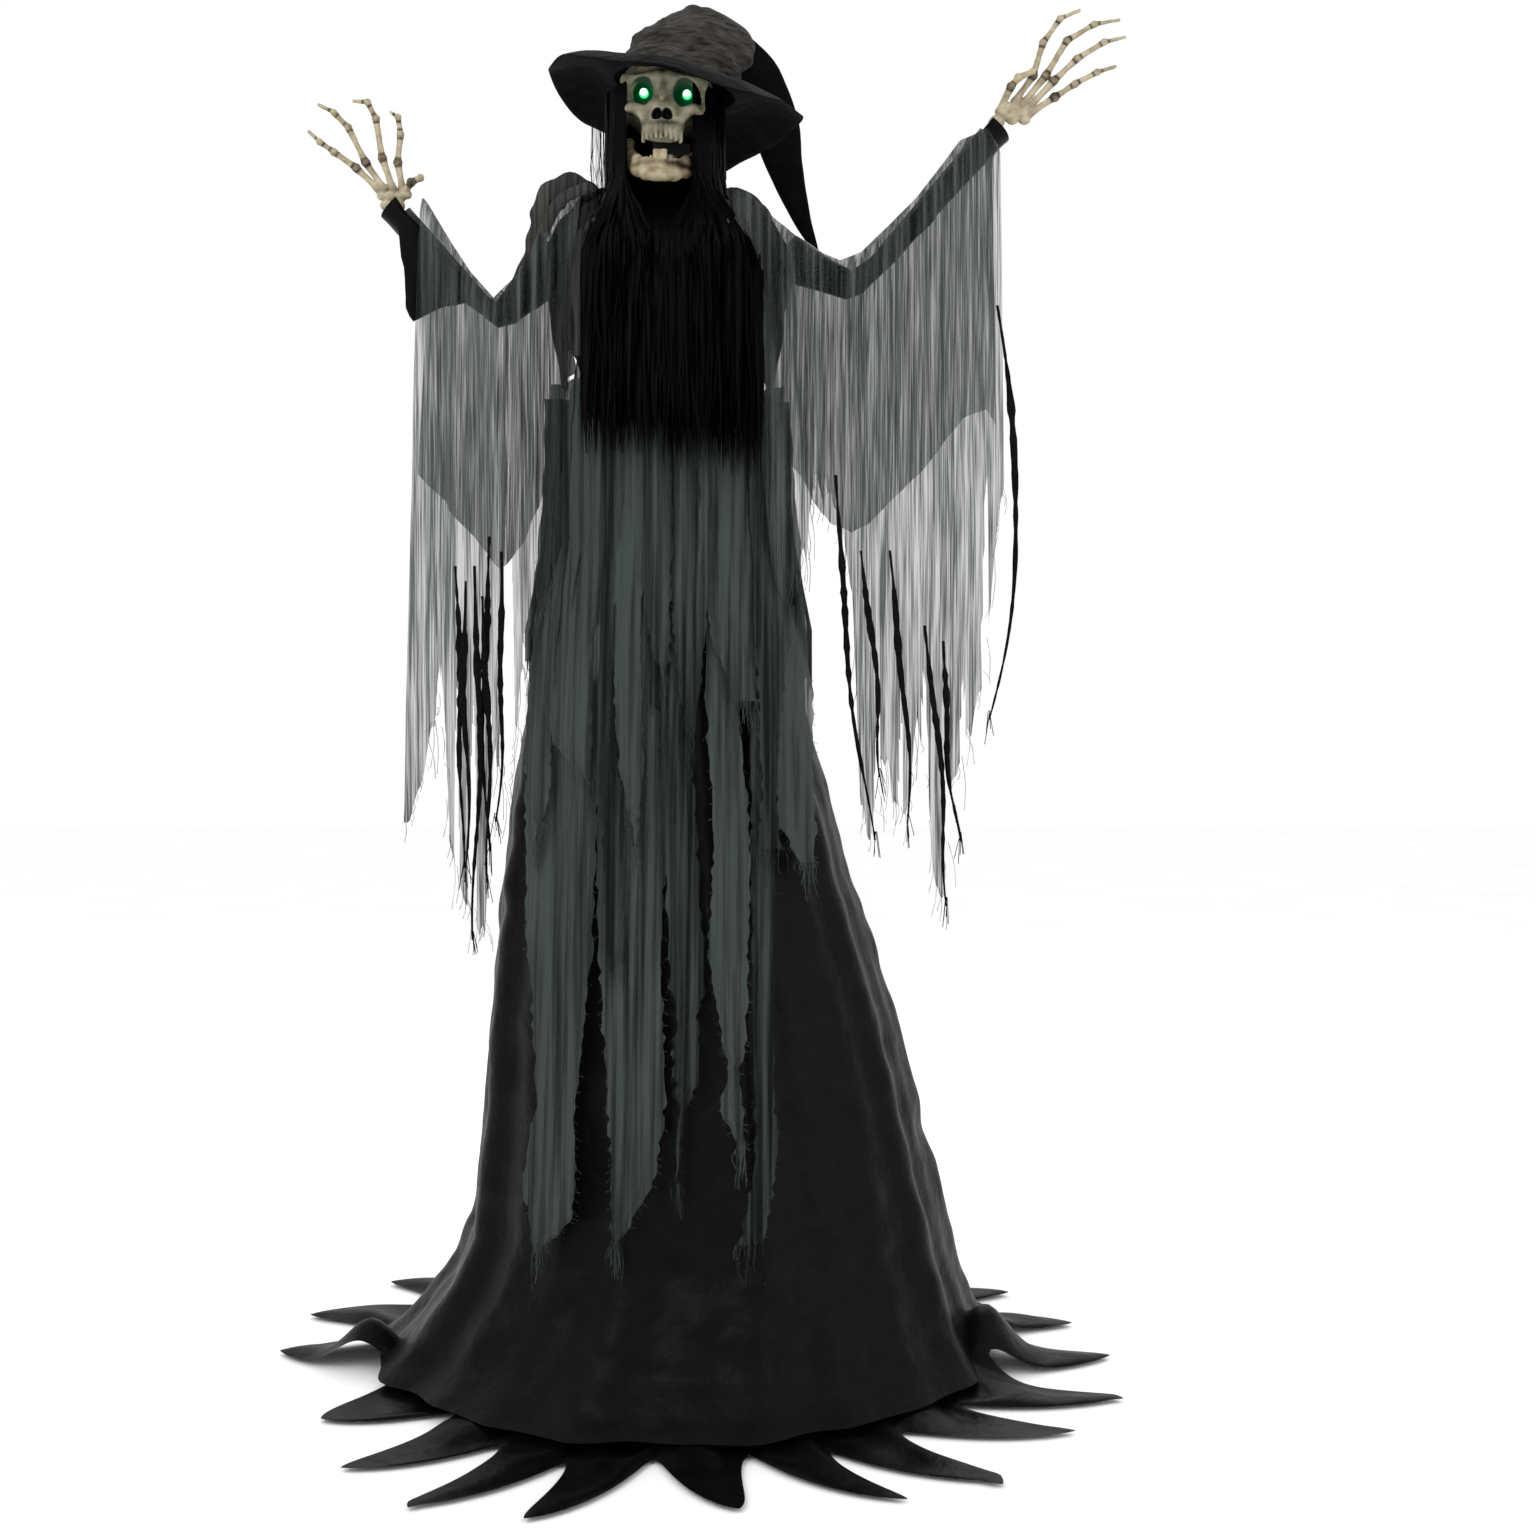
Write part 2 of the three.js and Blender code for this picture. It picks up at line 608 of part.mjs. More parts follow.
/** Hair panels: a cap of hair that turns with the head, and long locks that lie on the body. */
function buildHair(head) {
  const cap = (radiusX, radiusY, z) =>
    spread(-32, 212, 16).map((degrees) => {
      const turn = THREE.MathUtils.degToRad(degrees);
      return vec(radiusX * Math.cos(turn), 12 + radiusY * Math.sin(turn), z);
    });
  const heights = [22, 60, 105, 150];
  const outer = heights.map((z, i) => cap(92 - i * 2, 108 - i * 2, z));
  const inner = heights.map((z, i) => cap(84 - i * 2, 100 - i * 2, z));
  add("hair_cap", slab(outer, inner), "hair", head);
  const locks = [
    ["hair_left", 214, 246, [1225, 1340, 1450, 1545]],
    ["hair_right", 294, 326, [1215, 1340, 1450, 1545]],
    ["hair_rear", 50, 130, [1260, 1340, 1450, 1545]],
  ];
  locks.forEach(([name, from, to, heightsOfLock]) => {
    add(name, panel(from, to, heightsOfLock, 16, 10, 6), "hair");
  });
}

// ---------- arms and hands ----------
function armPath({ shoulder, elbow, wrist }, startOff, endOff, dropped = 0) {
  const upper = shoulder.clone().sub(elbow);
  const lower = wrist.clone().sub(elbow);
  const drop = vec(0, 0, dropped);
  const bend = 34;
  const start = shoulder.clone().addScaledVector(upper.clone().normalize(), -startOff).add(drop);
  const end = wrist.clone().addScaledVector(lower.clone().normalize(), endOff).add(drop);
  const into = elbow.clone().addScaledVector(upper.clone().normalize(), bend).add(drop);
  const out = elbow.clone().addScaledVector(lower.clone().normalize(), bend).add(drop);
  return { start, into, elbow: elbow.clone().add(drop), out, end };
}

/** A tube along an arm: a straight, a smooth bend at the elbow, a straight. */
function armTube(path, radius, sides) {
  const bend = new THREE.QuadraticBezierCurve3(path.into, path.elbow, path.out);
  const ahead = (from, to, extra) => to.clone().add(to.clone().sub(from).setLength(extra));
  return joined(
    rod(path.start, ahead(path.start, path.into, 1), radius, radius, sides),
    along(bend, radius * 0.995, 4, Math.round(sides / 2)),
    rod(ahead(path.end, path.out, 1), path.end, radius, radius, sides),
  );
}

function buildArm(side) {
  const arm = ARMS[side];
  const { shoulder, elbow, wrist } = arm;
  const way = wrist.clone().sub(elbow).normalize();
  const tube = armTube(armPath(arm, 0, -12), ARM_TUBE, 12);
  const eye = rod(vec(shoulder.x, -23, shoulder.z), vec(shoulder.x, -13, shoulder.z), 13, 13, 16);
  const hole = rod(vec(shoulder.x, -40, shoulder.z), vec(shoulder.x, 10, shoulder.z), SHOULDER.bolt + GAP);
  const clear = box(60, 40, 60, shoulder.x, -12.5 + 20, shoulder.z);
  const headRoom = rod(vec(shoulder.x, -60, shoulder.z), vec(shoulder.x, -24, shoulder.z), 9, 9, 20);
  const whole = cutFrom(tube.add(toSolid(eye)), hole, clear, headRoom);
  add(`arm_tube_${side}`, toGeometry(whole), "steel");
  const cuff = upright(arm.cuff, wrist.y - 34, 68);
  const skin = armTube(armPath(arm, 38, -2), SLEEVE.outer, 10).add(toSolid(cuff));
  const hollow = armTube(armPath(arm, 30, 60), SLEEVE.inner, 10);
  add(`dress_sleeve_${side}`, toGeometry(skin.subtract(hollow)), "satin");
  buildHand(side, wrist, way);
}

/** A chain of bones through points, each bone thinner than the one before. */
function boneChain(points) {
  return points.slice(1).map((to, i) => {
    const thick = BONE.knuckle - i * BONE.taper;
    return rod(points[i], to, thick, thick - BONE.slim, 8);
  });
}

/** A hand of bones on a socket that turns on the end of the arm tube. */
function buildHand(side, wrist, way) {
  const { palm, fingers, thumb } = HANDS[side];
  const { depths, thumbDepth, socketFoot, socketTop } = HAND;
  const alongArm = (distance) => wrist.clone().addScaledVector(way, distance);
  const chains = fingers.map((points) => points.map(([x, z], i) => vec(x, depths[i], z)));
  const thumbPoints = thumb.map(([x, z], i) => vec(x, i ? thumbDepth : depths[0], z));
  const whole = cutFrom(
    joined(
      rod(alongArm(socketFoot), alongArm(socketTop), 13, 12, 16),
      ball(palm[0], depths[0] + 1, palm[1], HAND.palmReach, 10, 20, 12),
      ...chains.flatMap(boneChain),
      ...boneChain(thumbPoints),
    ),
    rod(alongArm(socketFoot - 2), alongArm(-6), ARM_TUBE + GAP, ARM_TUBE + GAP, 16),
  );
  add(`hand_${side}`, toGeometry(whole), "bone");
}

// ---------- cloth ----------
function buildDress() {
  const heights = [14, 190, 475, 650, 850, 1000, 1120, 1300, 1450, 1500];
  add("dress_rear", panel(0.6, 179.4, heights, -3, 3, 12), "satin");
  add("dress_front", panel(180.6, 359.4, heights, -3, 3, 12), "satin");
}

/** Half of the train: a flat ring on the floor whose outer edge is cut into curved points. */
function trainHalf(from, to) {
  const radians = THREE.MathUtils.degToRad;
  const middle = new THREE.Vector2();
  const at = (degrees, reach) => new THREE.Vector2(reach, 0).rotateAround(middle, radians(degrees));
  const shape = new THREE.Shape();
  const inside = HEM_TIPS.filter(([degrees]) => degrees > from && degrees < to);
  const start = at(from, TRAIN.inner);
  shape.moveTo(start.x, start.y);
  const edge = at(from, TRAIN.inner + 60);
  shape.lineTo(edge.x, edge.y);
  inside.forEach(([degrees, reach], i) => {
    const tip = at(degrees, reach);
    const bow = at(degrees - 4, reach * 0.86);
    shape.quadraticCurveTo(bow.x, bow.y, tip.x, tip.y);
    const next = i + 1 < inside.length ? inside[i + 1][0] : to;
    const last = i + 1 === inside.length;
    const low = last ? at(to, TRAIN.inner + 60) : at((degrees + next) / 2 + 1, reach * TRAIN.valley);
    const back = at(degrees + 2, reach * 0.8);
    shape.quadraticCurveTo(back.x, back.y, low.x, low.y);
  });
  spread(to, from, 14).forEach((degrees) => {
    const inner = at(degrees, TRAIN.inner);
    shape.lineTo(inner.x, inner.y);
  });
  return new THREE.ExtrudeGeometry(shape, { depth: TRAIN.thickness, curveSegments: 3, bevelEnabled: false });
}

function buildTrain() {
  add("train_rear", trainHalf(0.5, 179.5), "satin");
  add("train_front", trainHalf(180.5, 359.5), "satin");
}

/** A torn gauze panel that hangs on the dress, with long strips below its body. */
function tornPanel(from, to, top, bottom, strips) {
  const body = panel(from, to, spread(bottom, top, 6), 6, 5, 8);
  const tatters = strips.map(([left, right, end]) =>
    panel(left, right, spread(end, bottom + 20, 3), 6, 5, 1));
  return toGeometry(joined(body, ...tatters));
}

function buildGauze() {
  add("robe_front", tornPanel(206, 334, 1490, 700, [
    [226, 238, 110], [247, 260, 150], [266, 274, 260], [281, 290, 290], [296, 305, 160],
  ]), "gauze");
  add("robe_rear", tornPanel(26, 154, 1490, 680, [
    [36, 50, 300], [60, 74, 180], [86, 98, 380], [108, 120, 220], [130, 142, 330],
  ]), "gauze");
  const collar = [[52, 1577], [46, 1569], [104, 1554], [112, 1557], [108, 1562], [52, 1577]];
  add("shawl", turned(collar, 28).scale(1.1, 0.85, 1), "gauze");
  add("gauze_sleeve_left", upright([
    [-235, 1315], [-352, 1300], [-345, 1000], [-350, 737], [-318, 900], [-262, 600], [-262, 760],
    [-236, 900], [-206, 1080], [-182, 1200],
  ], -64, 12), "gauze");
  add("gauze_sleeve_right", upright([
    [210, 1345], [300, 1370], [380, 1420], [445, 1495], [446, 1230], [424, 880], [372, 640], [366, 860],
    [275, 720], [268, 830], [236, 900], [206, 1080], [182, 1200],
  ], -64, 12), "gauze");
}

// ---------- assembly ----------
buildStand();
buildPole();
buildHipRing();
buildTorso();
buildControlBox();
const head = new THREE.Group();
head.position.z = HEAD.z;
head.rotation.y = HEAD.roll;
figure.add(head);
buildSkull(head);
buildJaw(head);
buildHat(head);
buildHair(head);
buildArm("left");
buildArm("right");
buildDress();
buildTrain();
buildGauze();

export default figure;
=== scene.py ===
"""A life-size animated skeletal witch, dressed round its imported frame.

Lengths are metres and +Z is up unless a name says millimetres. The figure faces -Y.
"""
import copy
import itertools
import json
import logging
import math
from collections.abc import Callable, Sequence
from dataclasses import dataclass, field
from enum import Enum
from typing import ClassVar

import bpy
import numpy as np
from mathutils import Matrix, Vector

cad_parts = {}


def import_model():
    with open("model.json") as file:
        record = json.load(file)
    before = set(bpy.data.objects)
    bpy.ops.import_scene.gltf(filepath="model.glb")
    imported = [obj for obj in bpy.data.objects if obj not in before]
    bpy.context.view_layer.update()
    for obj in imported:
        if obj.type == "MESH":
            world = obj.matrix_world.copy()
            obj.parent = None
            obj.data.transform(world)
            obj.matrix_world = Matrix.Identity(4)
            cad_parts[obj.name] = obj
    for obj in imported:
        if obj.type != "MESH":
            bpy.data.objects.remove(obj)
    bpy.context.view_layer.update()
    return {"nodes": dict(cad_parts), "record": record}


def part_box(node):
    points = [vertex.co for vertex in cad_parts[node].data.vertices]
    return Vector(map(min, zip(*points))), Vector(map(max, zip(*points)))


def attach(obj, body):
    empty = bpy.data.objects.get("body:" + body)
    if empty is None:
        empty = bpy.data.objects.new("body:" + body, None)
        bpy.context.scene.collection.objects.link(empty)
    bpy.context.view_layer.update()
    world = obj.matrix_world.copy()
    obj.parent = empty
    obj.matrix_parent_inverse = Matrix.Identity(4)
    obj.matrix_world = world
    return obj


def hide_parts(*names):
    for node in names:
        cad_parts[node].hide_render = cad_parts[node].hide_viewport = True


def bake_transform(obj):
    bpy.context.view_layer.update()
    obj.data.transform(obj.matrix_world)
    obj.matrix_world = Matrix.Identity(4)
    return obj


LOG = logging.getLogger("witch")
MM = 0.001

Array = np.ndarray
Shape = Callable[[Array], Array]


class Side(Enum):
    """The two sides, as seen from the front."""

    LEFT = "left"
    RIGHT = "right"

    @property
    def sign(self) -> int:
        """-1 for the left, which is towards -X, and 1 for the right."""
        return -1 if self is Side.LEFT else 1


# ---------- colour and node helpers ----------
def linear(colour: str) -> tuple[float, float, float, float]:
    """Turns an sRGB hex colour to linear.

    Args:
        colour: Six hex digits after a hash.

    Returns:
        Red, green, blue and an alpha of one.
    """
    parts = [int(colour[i : i + 2], 16) / 255 for i in (1, 3, 5)]
    r, g, b = [c / 12.92 if c <= 0.04045 else ((c + 0.055) / 1.055) ** 2.4 for c in parts]
    return r, g, b, 1.0


def add_node(
    tree: bpy.types.NodeTree,
    kind: str,
    inputs: dict | None = None,
    stops: Sequence[tuple[float, tuple]] = (),
    **settings: object,
) -> bpy.types.Node:
    """Adds one node with its settings and links.

    Args:
        tree: The material's node tree.
        kind: The node's type.
        inputs: A value or an output socket for each input, by its name or number.
        stops: Places and colours, where the node is a colour ramp.
        settings: The node's own properties.

    Returns:
        The new node.
    """
    node = tree.nodes.new(kind)
    for name, value in settings.items():
        setattr(node, name, value)
    for name, value in (inputs or {}).items():
        if isinstance(value, bpy.types.NodeSocket):
            tree.links.new(value, node.inputs[name])
        else:
            node.inputs[name].default_value = value
    for i, (place, colour) in enumerate(stops):
        ramp = node.color_ramp.elements
        element = ramp[i] if i < 2 else ramp.new(place)
        element.position = place
        element.color = colour
    return node


# ---------- finishes ----------
@dataclass(frozen=True)
class Finish:
    """A surface finish, named for its material and how it was made."""

    label: str

    def surface(self, tree: bpy.types.NodeTree) -> bpy.types.NodeSocket:
        """Builds the finish's nodes and returns the shader."""
        raise NotImplementedError

    def material(self) -> bpy.types.Material:
        """Makes the material, or finds it if it is made already."""
        made = bpy.data.materials.get(self.label)
        if made:
            return made
        made = bpy.data.materials.new(self.label)
        made.use_nodes = True
        tree = made.node_tree
        tree.nodes.clear()
        add_node(tree, "ShaderNodeOutputMaterial", {"Surface": self.surface(tree)})
        return made

    def streaks(self, tree: bpy.types.NodeTree, pitch_mm: float, run_mm: float, detail: float = 3.0,
                depth_mm: float | None = None) -> bpy.types.NodeSocket:
        """Noise drawn out along Z.

        Args:
            tree: The material's node tree.
            pitch_mm: Width of a streak.
            run_mm: Length of a streak.
            detail: How much finer noise is laid on it.
            depth_mm: Length of a streak along Y, or its width if it is left out.

        Returns:
            The noise's output socket.
        """
        where = add_node(tree, "ShaderNodeTexCoord").outputs["Object"]
        scale = (1000 / pitch_mm, 1000 / (depth_mm or pitch_mm), 1000 / run_mm)
        turned = add_node(tree, "ShaderNodeMapping", {"Vector": where, "Scale": scale}).outputs["Vector"]
        noise = add_node(tree, "ShaderNodeTexNoise", {"Vector": turned, "Scale": 1.0, "Detail": detail})
        return noise.outputs["Fac"]

    def clouds(self, tree: bpy.types.NodeTree, size_mm: float, detail: float = 4.0) -> bpy.types.NodeSocket:
        """Even noise with features of one size."""
        return self.streaks(tree, size_mm, size_mm, detail)


@dataclass(frozen=True)
class SolidFinish(Finish):
    """Moulded, plated or coated goods: a base colour that wanders, with a fine grain."""

    dark: str
    light: str
    roughness: float = 0.5
    metallic: float = 0.0
    patch_mm: float = 30.0
    grain_mm: float = 1.2
    grain_depth: float = 0.15

    def surface(self, tree: bpy.types.NodeTree) -> bpy.types.NodeSocket:
        """Mixes two shades in soft patches over a grain."""
        colour = add_node(
            tree, "ShaderNodeValToRGB", {"Fac": self.clouds(tree, self.patch_mm)},
            stops=[(0.35, linear(self.dark)), (0.7, linear(self.light))],
        )
        grain = self.clouds(tree, self.grain_mm, 2.0)
        gloss = add_node(
            tree, "ShaderNodeMapRange",
            {"Value": grain, "To Min": self.roughness - 0.1, "To Max": self.roughness + 0.12},
        )
        bump = add_node(
            tree, "ShaderNodeBump", {"Height": grain, "Strength": self.grain_depth, "Distance": 0.0004},
        )
        shader = add_node(
            tree, "ShaderNodeBsdfPrincipled",
            {
                "Base Color": colour.outputs["Color"], "Roughness": gloss.outputs["Result"],
                "Metallic": self.metallic, "Normal": bump.outputs["Normal"],
            },
        )
        return shader.outputs[0]


@dataclass(frozen=True)
class WovenSatin(Finish):
    """Thin polyester satin: near black, with a soft sheen and small creases."""

    dark: str
    light: str
    roughness: float = 0.5
    thread_mm: float = 1.4
    crease_mm: float = 26.0
    crease_depth: float = 0.5
    crease_run: float = 1.0
    sheen: float = 0.1
    gloss: float = 0.3

    def surface(self, tree: bpy.types.NodeTree) -> bpy.types.NodeSocket:
        """Lays threads over creases, with a painted highlight: the colour is a little lighter where the
        creases stand high, and darker in their hollows.
        """
        crease = self.streaks(tree, self.crease_mm, self.crease_mm * self.crease_run, 5.0)
        thread = self.streaks(tree, self.thread_mm, self.thread_mm * 9, 1.0)
        # painted highlight and shade: the colour follows the creases' height, lighter on their crests and
        # darker in their hollows
        colour = add_node(
            tree, "ShaderNodeValToRGB", {"Fac": crease},
            stops=[(0.3, linear(self.dark)), (0.75, linear(self.light))],
        )
        folds = add_node(
            tree, "ShaderNodeBump", {"Height": crease, "Strength": self.crease_depth, "Distance": 0.006},
        )
        weave = add_node(
            tree, "ShaderNodeBump",
            {"Height": thread, "Strength": 0.1, "Distance": 0.0006, "Normal": folds.outputs["Normal"]},
        )
        shader = add_node(
            tree, "ShaderNodeBsdfPrincipled",
            {
                "Base Color": colour.outputs["Color"], "Roughness": self.roughness,
                "Specular IOR Level": self.gloss, "Sheen Weight": self.sheen, "Sheen Roughness": 0.4,
                "Normal": weave.outputs["Normal"],
            },
        )
        return shader.outputs[0]


@dataclass(frozen=True)
class Cheesecloth(Finish):
    """Open cotton cheesecloth, dyed: pulled threads run down it, and light comes through between them."""

    dark: str
    light: str
    open_low: float
    open_high: float
    thread_mm: float = 1.6
    pull_mm: float = 7.0

    def surface(self, tree: bpy.types.NodeTree) -> bpy.types.NodeSocket:
        """Mixes dyed cloth with see-through gaps along pulled threads."""
        # the real mesh is about 1 mm, too fine to show, so its threads are drawn about twice as coarse
        thread = self.streaks(tree, self.thread_mm, self.thread_mm * 60, 1.5, self.thread_mm * 30)
        pull = self.streaks(tree, self.pull_mm, self.pull_mm * 45, 2.5, self.pull_mm * 20)
        mixed = add_node(tree, "ShaderNodeMath", {0: thread, 1: pull}, operation="ADD")
        cover = add_node(
            tree, "ShaderNodeMapRange",
            {
                "Value": mixed.outputs[0], "From Min": 0.8, "From Max": 1.2,
                "To Min": self.open_low, "To Max": self.open_high,
            },
        )
        tone_shift = add_node(tree, "ShaderNodeAttribute", attribute_name="shade")
        tone = add_node(tree, "ShaderNodeMath", {0: pull, 1: tone_shift.outputs["Fac"]}, operation="ADD")
        colour = add_node(
            tree, "ShaderNodeValToRGB", {"Fac": tone.outputs[0]},
            stops=[(0.32, linear(self.dark)), (0.68, linear(self.light))],
        )
        bump = add_node(
            tree, "ShaderNodeBump", {"Height": mixed.outputs[0], "Strength": 0.5, "Distance": 0.0015},
        )
        cloth = add_node(
            tree, "ShaderNodeBsdfPrincipled",
            {
                "Base Color": colour.outputs["Color"], "Roughness": 0.92, "Sheen Weight": 0.03,
                "Specular IOR Level": 0.06, "Normal": bump.outputs["Normal"],
            },
        )
        gap = add_node(tree, "ShaderNodeBsdfTransparent")
        both = add_node(
            tree, "ShaderNodeMixShader",
            {0: cover.outputs["Result"], 1: gap.outputs[0], 2: cloth.outputs[0]},
        )
        return both.outputs[0]


@dataclass(frozen=True)
class AgedBone(Finish):
    """Blow-moulded plastic bone, with brown staining rubbed into the recesses and painted shade that darkens
    them further.
    """

    pale: str
    mid: str
    stain_and_shade: str
    deep: str
    glow: str = "#000000"

    def surface(self, tree: bpy.types.NodeTree) -> bpy.types.NodeSocket:
        """Blotches the bone and darkens it where its attribute says: real brown staining, and on the skull
        and jaw also painted shade in the recesses.
        """
        blotch = self.clouds(tree, 14.0, 5.0)
        bone = add_node(
            tree, "ShaderNodeValToRGB", {"Fac": blotch},
            stops=[(0.3, linear(self.mid)), (0.62, linear(self.pale))],
        )
        # painted shade and real staining: the attribute read here darkens the recesses of the skull and jaw
        # for shade as well as for brown staining
        stain_and_shade_input = add_node(tree, "ShaderNodeAttribute", attribute_name="stain_and_shade")
        speck = self.clouds(tree, 3.0, 4.0)
        speckled_stain_and_shade = add_node(
            tree, "ShaderNodeMath", {0: stain_and_shade_input.outputs["Fac"], 1: speck}, operation="MULTIPLY_ADD",
        )
        tree.links.new(stain_and_shade_input.outputs["Fac"], speckled_stain_and_shade.inputs[2])
        stain_and_shade_colour = add_node(
            tree, "ShaderNodeValToRGB", {"Fac": speckled_stain_and_shade.outputs[0]},
            stops=[(0.45, linear(self.stain_and_shade)), (1.0, linear(self.deep))],
        )
        amount = add_node(
            tree, "ShaderNodeMapRange", {"Value": speckled_stain_and_shade.outputs[0], "From Min": 0.12, "From Max": 0.8},
        )
        colour = add_node(
            tree, "ShaderNodeMix",
            {0: amount.outputs["Result"], 6: bone.outputs["Color"], 7: stain_and_shade_colour.outputs["Color"]},
            data_type="RGBA",
        ).outputs[2]
        bump = add_node(tree, "ShaderNodeBump", {"Height": speck, "Strength": 0.35, "Distance": 0.0008})
        # the green light of a lamp, where it falls on the bone round it
        lit = add_node(tree, "ShaderNodeAttribute", attribute_name="lit")
        shader = add_node(
            tree, "ShaderNodeBsdfPrincipled",
            {
                "Base Color": colour, "Roughness": 0.62, "Specular IOR Level": 0.25,
                "Normal": bump.outputs["Normal"], "Emission Color": linear(self.glow),
                "Emission Strength": lit.outputs["Fac"],
            },
        )
        return shader.outputs[0]


@dataclass(frozen=True)
class WigFibre(Finish):
    """Straight synthetic wig fibre: black, with a streaky shine that is a little brown and green."""

    dark: str
    light: str

    def surface(self, tree: bpy.types.NodeTree) -> bpy.types.NodeSocket:
        """Streaks colour and roughness along the fibre."""
        fibre = self.streaks(tree, 1.5, 160.0, 2.0, 20.0)
        colour = add_node(
            tree, "ShaderNodeValToRGB", {"Fac": fibre},
            stops=[(0.35, linear(self.dark)), (0.75, linear(self.light))],
        )
        gloss = add_node(tree, "ShaderNodeMapRange", {"Value": fibre, "To Min": 0.38, "To Max": 0.6})
        bump = add_node(tree, "ShaderNodeBump", {"Height": fibre, "Strength": 0.6, "Distance": 0.001})
        shader = add_node(
            tree, "ShaderNodeBsdfPrincipled",
            {
                "Base Color": colour.outputs["Color"], "Roughness": gloss.outputs["Result"],
                "Specular IOR Level": 0.035, "Normal": bump.outputs["Normal"],
            },
        )
        return shader.outputs[0]


@dataclass(frozen=True)
class LitLens(Finish):
    """A clear green lamp lens, lit from inside: white at the lamp and green at the rim."""

    core: str
    rim: str
    strength: float

    def surface(self, tree: bpy.types.NodeTree) -> bpy.types.NodeSocket:
        """Shades the light by the glow attribute."""
        glow = add_node(tree, "ShaderNodeAttribute", attribute_name="glow")
        colour = add_node(
            tree, "ShaderNodeValToRGB", {"Fac": glow.outputs["Fac"]},
            stops=[(0.25, linear(self.rim)), (0.85, linear(self.core))],
        )
        light = add_node(
            tree, "ShaderNodeMapRange",
            {"Value": glow.outputs["Fac"], "To Min": self.strength * 0.15, "To Max": self.strength},
        )
        shader = add_node(
            tree, "ShaderNodeBsdfPrincipled",
            {
                "Base Color": colour.outputs["Color"], "Roughness": 0.25,
                "Emission Color": colour.outputs["Color"], "Emission Strength": light.outputs["Result"],
            },
        )
        return shader.outputs[0]


# Powder-coated tube: satin black with a faint orange-peel grain.
POWDER_COAT = SolidFinish(
    "powder_coated_steel", "#1b1c20", "#2b2c31", roughness=0.42,
    patch_mm=60, grain_mm=0.9, grain_depth=0.2,
)
# Zinc plate on small hardware: bluish grey, slightly cloudy.
ZINC_PLATE = SolidFinish(
    "zinc_plated_steel", "#8f9496", "#b9bcbd", roughness=0.34, metallic=1.0,
    patch_mm=12, grain_mm=0.6, grain_depth=0.08,
)
# ABS moulded against a spark-eroded tool: black, matt and finely grained.
MOULDED_ABS = SolidFinish(
    "moulded_black_abs", "#131315", "#232326", roughness=0.58,
    patch_mm=25, grain_mm=0.8, grain_depth=0.25,
)
# Fibreglass board under green solder mask.
SOLDER_MASK = SolidFinish(
    "solder_masked_board", "#14472a", "#226a3c", roughness=0.35,
    patch_mm=6, grain_mm=1.5, grain_depth=0.2,
)
# Shrink film on the dry cells: smooth grey with a slight gloss.
SHRINK_FILM = SolidFinish(
    "shrink_film_jacket", "#3f4246", "#5b5f64", roughness=0.32, metallic=0.2,
    patch_mm=20, grain_mm=3.0, grain_depth=0.05,
)
# Black polyester satin of the dress: deep black, with a painted highlight that lifts it along the crests of
# the creases.
BLACK_SATIN = WovenSatin(
    "woven_black_satin", "#010102", "#060607", roughness=0.42, sheen=0.008, gloss=0.07,
)
# Black felt-backed hat cloth: matt, with coarse creases, drawn a little lighter on their crests as a painted
# highlight.
HAT_CLOTH = WovenSatin(
    "crushed_black_hat_cloth", "#040505", "#0b0c0c", roughness=0.85, thread_mm=1.8,
    crease_mm=18, crease_depth=0.6, sheen=0.02, gloss=0.06,
)
# Crinkled gauze drawn over the hat's crown: dark grey threads on black, drawn lighter on the crests of the
# crinkles as a painted highlight and darker in their hollows as painted shade.
HAT_GAUZE = WovenSatin(
    "crinkled_hat_gauze", "#211f1d", "#4d4a46", roughness=0.95, thread_mm=2.2,
    crease_mm=22, crease_depth=1.0, crease_run=0.22, sheen=0.03, gloss=0.05,
)
# Slate cheesecloth of the robe, close enough that the black below only darkens it.
ROBE_GAUZE = Cheesecloth("slate_cheesecloth", "#121515", "#3a403f", open_low=0.80, open_high=1.0)
# The same cloth one layer thick on the sleeves, where the light shows through.
SLEEVE_GAUZE = Cheesecloth("sheer_cheesecloth", "#191c1c", "#474d4c", open_low=0.38, open_high=0.94)
# Charcoal cheesecloth of the shoulders: browner, and doubled, so nearly closed.
SHOULDER_GAUZE = Cheesecloth(
    "charcoal_cheesecloth", "#1a1a1b", "#454340", open_low=0.9, open_high=1.0, thread_mm=1.4, pull_mm=5.0,
)
# Black cheesecloth, torn into strips and twisted, drawn a little lighter on the crests of its creases as a
# painted highlight.
BLACK_GAUZE = WovenSatin(
    "twisted_black_gauze", "#040404", "#0f0f10", roughness=0.9, thread_mm=1.2,
    crease_mm=5, crease_depth=0.6, sheen=0.02, gloss=0.06,
)
# Blow-moulded bone, from the greyest on the skull to the yellowest on the hands.
# the skull's recesses are drawn darker by real staining and by painted shade
SKULL_BONE = AgedBone("stained_moulded_bone_with_painted_shade", "#9a967f", "#6a6652", "#332d20", "#070605", glow="#0a9a52")
JAW_BONE = AgedBone("cream_moulded_bone", "#a59a7f", "#7c6e53", "#4b3320", "#0a0705")
HAND_BONE = AgedBone("ivory_moulded_bone", "#aba188", "#81765d", "#453424", "#100c08")
# Modacrylic fibre: black, with almost no shine.
WIG = WigFibre("black_wig_fibre", "#010101", "#040303")
# Clear polycarbonate over a green lamp that is switched on.
LAMP = LitLens("lit_green_lens", "#f2fffa", "#19c46a", strength=5.0)
